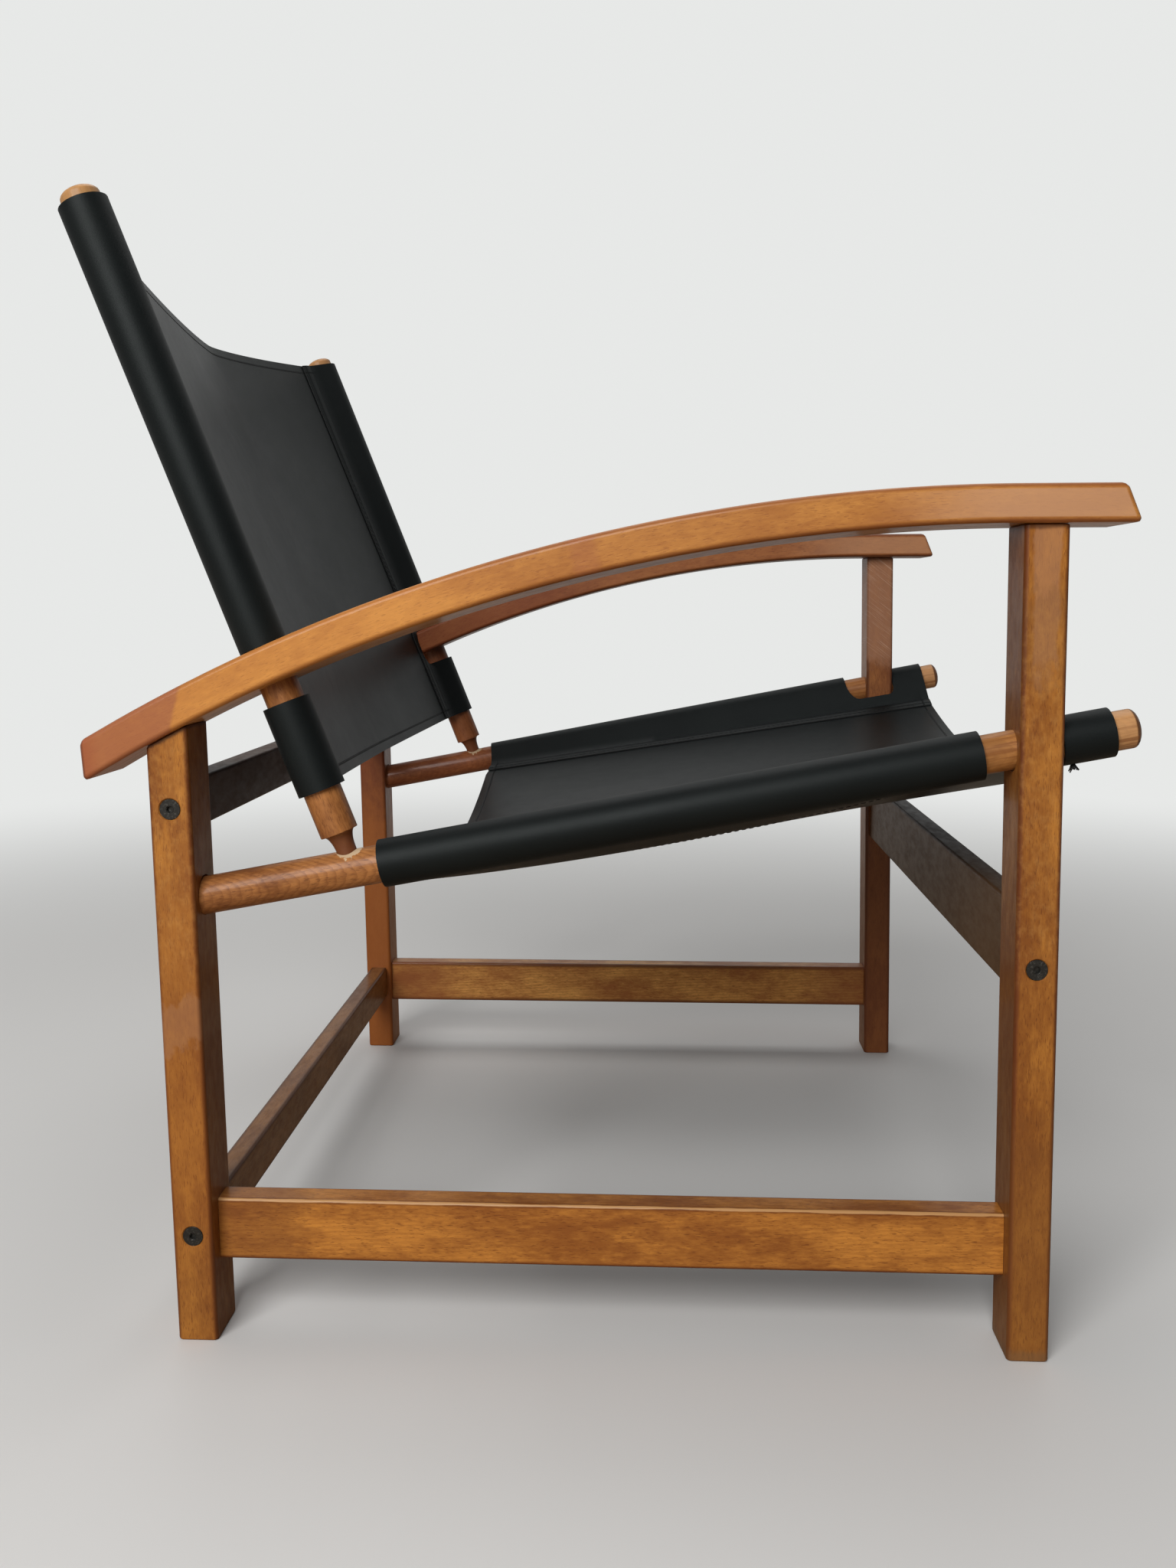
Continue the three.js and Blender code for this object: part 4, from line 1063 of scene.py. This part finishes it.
leather_finish, tree, surface = new_finish("black leather")
hide = lay(tree, "ShaderNodeGroup", {
    "Place": Shade(tree, lay(tree, "ShaderNodeTexCoord").outputs["Object"]),
    "Sewn": mark_of(leather_finish, "stock", "Vector"),
}, node_tree=leather_group()).outputs
feed(surface["Base Color"], Shade(tree, hide["Color"]))
feed(surface["Roughness"], Shade(tree, hide["Roughness"]))
emboss(surface, Shade(tree, hide["Height"]), 0.4, 0.0006)
surface["Specular IOR Level"].default_value = 0.17
surface["Specular Tint"].default_value = (0.94, 1.0, 0.98, 1)
raw_edge, fluff = two_tone(
    "raw leather edge", (1 / 900, 1 / 900, 1 / 900), 4.0, (0.35, 0.7),
    ((0.006, 0.0065, 0.0065, 1), (0.014, 0.0145, 0.014, 1)), 0.8,
)
emboss(surface_of(raw_edge), fluff, 0.5, 0.0005)
thread_finish, _ = two_tone(
    "black thread", (1 / 2200, 1 / 2200, 1 / 2200), 2.0, (0.35, 0.7),
    ((0.012, 0.012, 0.013, 1), (0.035, 0.035, 0.036, 1)), 0.65,
)
stitch_pitch, stitch_length, stitch_thick = 5.0, 3.7, 0.38
stitch_form = ((-0.5, -0.5, 0.5), (-0.36, 0.25, 0.95), (0, 0.5, 1), (0.36, 0.25, 0.95), (0.5, -0.5, 0.5))


def ring_round(middle, across, out, radius, sides):
    """Points round a thread."""
    turns = [2 * math.pi * i / sides for i in range(sides)]
    return [middle + (across * math.cos(t) + out * math.sin(t)) * radius * MM for t in turns]


def stitches(name, runs, strands=()):
    """A row of thread stitches along each run of places and outward directions, and a few loose strands."""
    form = bmesh.new()
    for strand in strands:
        rings = []
        for i, p in enumerate(strand):
            along = (strand[min(i + 1, len(strand) - 1)] - strand[max(i - 1, 0)]).normalized()
            across = along.cross(Vector((0.3, 1, 0.2))).normalized()
            rings.append(ring_round(p, across, along.cross(across), 0.45, 5))
        joined(form, rings)
    for run in runs:
        lengths = [0.0]
        for (a, _), (b, _) in zip(run, run[1:]):
            lengths.append(lengths[-1] + (b - a).length / MM)
        count = int(lengths[-1] / stitch_pitch)
        for k in range(count):
            centre = (k + 0.5) * lengths[-1] / count
            i = max(j for j in range(len(run) - 1) if lengths[j] <= centre)
            share = (centre - lengths[i]) / max(lengths[i + 1] - lengths[i], 1e-6)
            p = run[i][0].lerp(run[i + 1][0], share)
            out = run[i][1].lerp(run[i + 1][1], share).normalized()
            along = (run[i + 1][0] - run[i][0]).normalized()
            across = along.cross(out).normalized()
            rings = []
            for t, lift, radius in stitch_form:
                middle = p + (along * t * stitch_length + out * lift * stitch_thick) * MM
                rings.append(ring_round(middle, across, out, radius * stitch_thick, 6))
            joined(form, rings)
    piece = made(name, form)
    piece.data.shade_smooth()
    piece.data.materials.append(thread_finish)
    return piece


def row_on(line_at, place, stations, across, upper):
    """A run of stitches along the rods on one face of the sheet at a distance across the chair."""
    run = []
    for s in stations:
        line = line_at(s)
        middle, reach = len(line) // 2, panel_steps // 2 + 1
        panel = line[middle - reach:middle + reach + 1]
        i = min(range(len(panel)), key=lambda k: abs(panel[k][0] - across))
        j = i + 1 if i + 1 < len(panel) else i - 1
        share = (across - panel[i][0]) / (panel[j][0] - panel[i][0])
        depth = panel[i][1] + (panel[j][1] - panel[i][1]) * share
        flap = FIT + skived(flap_end - seam)
        depth += -(leather / 2 + flap - sunk) if upper else leather / 2 - sunk
        here = place(across, depth, s)
        out = place(across, depth + (-1 if upper else 1), s) - here
        run.append((here, out.normalized()))
    return run


def row_across(line_at, place, s, limit, upper):
    """A run of stitches across the chair on one face of the sheet at a station along the rods."""
    line = line_at(s)
    lift = (leather / 2 - sunk) * (-1 if upper else 1)
    middle, reach = len(line) // 2, panel_steps // 2
    run = []
    for a, depth in line[middle - reach:middle + reach + 1]:
        if abs(a) <= limit:
            here = place(a, depth + lift, s)
            run.append((here, (place(a, depth + 2 * lift, s) - here).normalized()))
    return run


def spread(start, end, count):
    return [start + (end - start) * i / (count - 1) for i in range(count)]


def sling(name, stations, line_at, place, sewn, notches, runs, loose=()):
    """Cuts the notches out of a sheet and sews it, hides the solid it stands for and hangs both on the root.
    """
    sheet = leather_sheet(f"{name}_leather", stations, line_at, place)
    cutters = []
    for notch in notches:
        rings = [[place(a, depth, s) for a, s in notch] for depth in (-75, 75)]
        cutters.append(skin("notch", rings))
    for piece in [sheet] + cutters:
        piece.data.materials.append(leather_finish)
        piece.data.materials.append(raw_edge)
    for cutter in cutters:
        for face in cutter.data.polygons:
            face.material_index = 1
    drill(sheet, cutters)
    smooth(sheet, 50, weighted=False)
    sawn(sheet, 0, sewn)
    thread = stitches(f"{name}_stitching", runs, loose)
    for piece in (sheet, thread):
        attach(piece, "root")
    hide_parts(f"{name}_sling")
    line_length(line_at(stations[len(stations) // 2])) * MM


def through(sizes, share):
    """A value that passes through its rear, middle and front sizes."""
    rear, middle, front = sizes
    bend = 2 * middle - (rear + front) / 2
    return (1 - share) ** 2 * rear + 2 * share * (1 - share) * bend + share ** 2 * front


def drawn_in(a, s):
    """How far the sleeves' rear ends are drawn forward, past the edge of the panel."""
    sleeve = min(1.0, max(0.0, (abs(a) - drawn_x) / drawn_blend))
    return drawn * sleeve ** 2 * (3 - 2 * sleeve) * max(0.0, 1 - (s - seat_sling_start) / drawn_run)


def seat_place(a, depth, s):
    return on_seat_rod(a, s + drawn_in(a, s), depth)


def seat_sewn(x, y, z):
    """Distance in from the nearer rod's axis, and from the sling's rear and front edges."""
    dy, dz = y - seat_rod_y, z - seat_rod_z
    s = -dy * math.cos(seat_tilt) + dz * math.sin(seat_tilt)
    return leg_x - abs(x), s - seat_sling_start - drawn_in(x, s), seat_sling_start + seat_sling_length - s


def seat_line(s):
    """The seat's hang, which the right and left sides and the rear and front share unevenly."""
    share = (s - seat_sling_start) / seat_sling_length
    lap_depth = through((17.7, 23.6, 4.0), share), through((9, 17, 23.5), share)
    sharpness = through((1.32, 2.0, 1.75), share), through((1.5, 1.5, 2.05), share)
    return sheet_line(leg_x, lap_depth, through((42, 49.8, 66.9), share), sharpness, 0)


seat_stations = spread(seat_sling_start, seat_sling_start + seat_sling_length, 60)
leg_front = front_leg_along(-leg_half[1]) + 1.2
leg_axis = front_leg_along(0)
leg_rear = front_leg_along(leg_half[1]) - 20
seat_notches = []
for side in SIDES.values():
    for start, end, corner in ((leg_rear, leg_axis + 12, 12), (leg_axis - 12, leg_front, 6)):
        seat_notches.append(notch_outline(side, seat_notch_x, start, end, corner))
seat_runs = []
for upper in (True, False):
    for side in (-1, 1):
        along_rod = spread(seat_stations[0] + 4, seat_stations[-1] - 4, 40)
        seat_runs.append(row_on(seat_line, seat_place, along_rod, side * (leg_x - seam), upper))
    for s in (seat_stations[0] + hem_seam, seat_stations[-1] - hem_seam):
        seat_runs.append(row_across(seat_line, seat_place, s, seat_hem_x, upper))
# A tuft of loose thread under the front end of the right sleeve
tuft = []
tuft_along = 563
for i in range(11):
    angle, reach = 2.4 * i, 1.6 + (i * 0.37) % 1.6
    root = (-leg_x + 0.8 * math.cos(angle), tuft_along + 0.8 * math.sin(angle))
    strand = []
    for share, drop in ((0, 15.4), (0.5, 17.8), (1, 18.4 + (i * 0.53) % 2.2)):
        swing, out = angle + 1.1 * share, reach * share
        strand.append(on_seat_rod(root[0] + out * math.cos(swing), root[1] + out * math.sin(swing), drop))
    tuft.append(strand)
sling(
    "seat", seat_stations, seat_line, seat_place, seat_sewn, seat_notches, seat_runs, tuft
)

# Back sling
# The same leather and sewing, folded round the two back rods, with notches below and above each arm.
# It has stretched in use: its top hangs back deepest on the sitter's left.
back_sling_start = shoulder + 30
back_sling_length = 391
back_seam_x, back_notch_x, back_hem_x = 257, 261, 250


def back_place(a, depth, s):
    foot = on_back_rod(1, s, depth)
    return Vector((a * MM, foot.y, foot.z))


def back_sewn(x, y, z):
    """Distance in from the nearer rod's axis, and from the sling's lower and upper edges."""
    foot = on_back_rod(1, 0) / MM
    s = (y + CHAIR_MIDDLE - foot.y) * math.sin(back_tilt) + (z - foot.z) * math.cos(back_tilt)
    return leg_x - back_lean * s - abs(x), s - back_sling_start, back_sling_start + back_sling_length - s


def back_line(s):
    share = (s - back_sling_start) / back_sling_length
    return sheet_line(leg_x - back_lean * s, (8, 8), 24 + 25 * share, (1.32, 1.32), 70 * share)


back_stations = spread(back_sling_start, back_sling_start + back_sling_length, 52)
below_arm, above_arm = crossing - arm_thick / 2, crossing + arm_thick / 2
back_notches = []
for side in SIDES.values():
    back_notches.append(notch_outline(side, back_notch_x, below_arm - 13.5, above_arm + 1.0, 12))
back_runs = []
for upper in (True, False):
    for side in (-1, 1):
        for start, end in ((back_stations[0] + 4, below_arm - 16), (above_arm + 6, back_stations[-1] - 4)):
            along_rod = spread(start, end, 30)
            back_runs.append(row_on(back_line, back_place, along_rod, side * back_seam_x, upper))
    for s in (back_stations[0] + hem_seam, back_stations[-1] - hem_seam):
        back_runs.append(row_across(back_line, back_place, s, back_hem_x, upper))
sling("back", back_stations, back_line, back_place, back_sewn, back_notches, back_runs)

# Studio
# A plain pale floor, a large soft lamp on the camera's side, a weaker one overhead and a pale surround.
# The camera stands where the photograph was taken, beside the chair a little above its seat.
floor_form = bpy.data.meshes.new("floor")
floor_form.from_pydata([(-9, -9, 0), (9, -9, 0), (9, 9, 0), (-9, 9, 0)], [], [(0, 1, 2, 3)])
floor = bpy.data.objects.new("floor", floor_form)
bpy.context.scene.collection.objects.link(floor)
surround = (0.8, 0.81, 0.8, 1)


def rays_of(tree):
    """Masks for what the camera sees, what is mirrored and what is seen through glass."""
    rays = lay(tree, "ShaderNodeLightPath").outputs
    return [Shade(tree, rays[f"Is {kind} Ray"]) for kind in ("Camera", "Glossy", "Transmission")]


floor_finish, tree, surface = new_finish("pale floor")
surface["Roughness"].default_value = 0.75
direct, mirrored, refracted = rays_of(tree)
feed(surface["Base Color"], blend(direct.larger(refracted), (0.4, 0.31, 0.22, 1), (0.76, 0.75, 0.73, 1)))
ground = Shade(tree, lay(tree, "ShaderNodeNewGeometry").outputs["Position"])
far = ground.vector("LENGTH", outlet="Value").between(0.75, 2.6)
glow = lay(tree, "ShaderNodeEmission", {"Color": surround, "Strength": 1.0}).outputs[0]
matte = tree.nodes["Principled BSDF"].outputs[0]
mixed = lay(tree, "ShaderNodeMixShader", {
    0: direct.larger(mirrored * 0.5) * far, 1: Shade(tree, matte), 2: Shade(tree, glow),
})
tree.links.new(mixed.outputs[0], tree.nodes["Material Output"].inputs["Surface"])
floor_form.materials.append(floor_finish)

world = bpy.data.worlds.new("pale room")
bpy.context.scene.world = world
world.use_nodes = True
tree = world.node_tree
sky = tree.nodes["Background"].inputs
direct, mirrored, refracted = rays_of(tree)
heading = Shade(tree, lay(tree, "ShaderNodeTexCoord").outputs["Generated"])
across, ahead, height = heading.parts()
sheen = across.between(0.0, 0.7, 0.1, 0.62) * height.between(-0.1, 0.4, 0.5, 1.1)
sheen = sheen * height.between(0.45, 0.85, 1.0, 0.4)
seen = direct.larger(mirrored.larger(refracted) * sheen)
room = blend(ahead.between(-0.6, 0.6), (0.055, 0.055, 0.057, 1), (0.22, 0.22, 0.22, 1))
feed(sky["Color"], blend(seen, room, surround))
sky["Strength"].default_value = 1.0


def lamp(name, place, aim, size, watts):
    light = bpy.data.lights.new(name, "AREA")
    light.shape = "RECTANGLE"
    light.size, light.size_y = size
    light.energy = watts
    holder = bpy.data.objects.new(name, light)
    bpy.context.scene.collection.objects.link(holder)
    holder.location = place
    holder.rotation_euler = (Vector(aim) - Vector(place)).to_track_quat("-Z", "Y").to_euler()


lamp("window", (-2.45, 0.75, 1.75), (0, 0, 0.4), (1.8, 1.6), 70)
lamp("ceiling", (0.7, 0.0, 2.8), (0, 0, 0), (2.2, 2.2), 26)

view = bpy.data.cameras.new("camera")
view.sensor_width = 36
focal, picture_height = 1730.3, 2048  # in the photograph's pixels
view.lens = focal / picture_height * view.sensor_width
view.clip_start = 0.05
camera = bpy.data.objects.new("camera", view)
bpy.context.scene.collection.objects.link(camera)
eye = (-1.1388, -0.050836, 0.4915)
pitch, roll, yaw = -0.1357, -0.0026, 0.0515
ahead = Vector((math.cos(yaw) * math.cos(pitch), math.sin(yaw) * math.cos(pitch), math.sin(pitch)))
level = ahead.cross(Vector((0, 0, 1))).normalized()
upright = level.cross(ahead)
right = math.cos(roll) * level + math.sin(roll) * upright
up = -math.sin(roll) * level + math.cos(roll) * upright
turn = Matrix((right, up, -ahead)).transposed()
camera.matrix_world = Matrix.Translation(eye) @ turn.to_4x4()
bpy.context.scene.camera = camera
bpy.context.scene.view_settings.view_transform = "Standard"
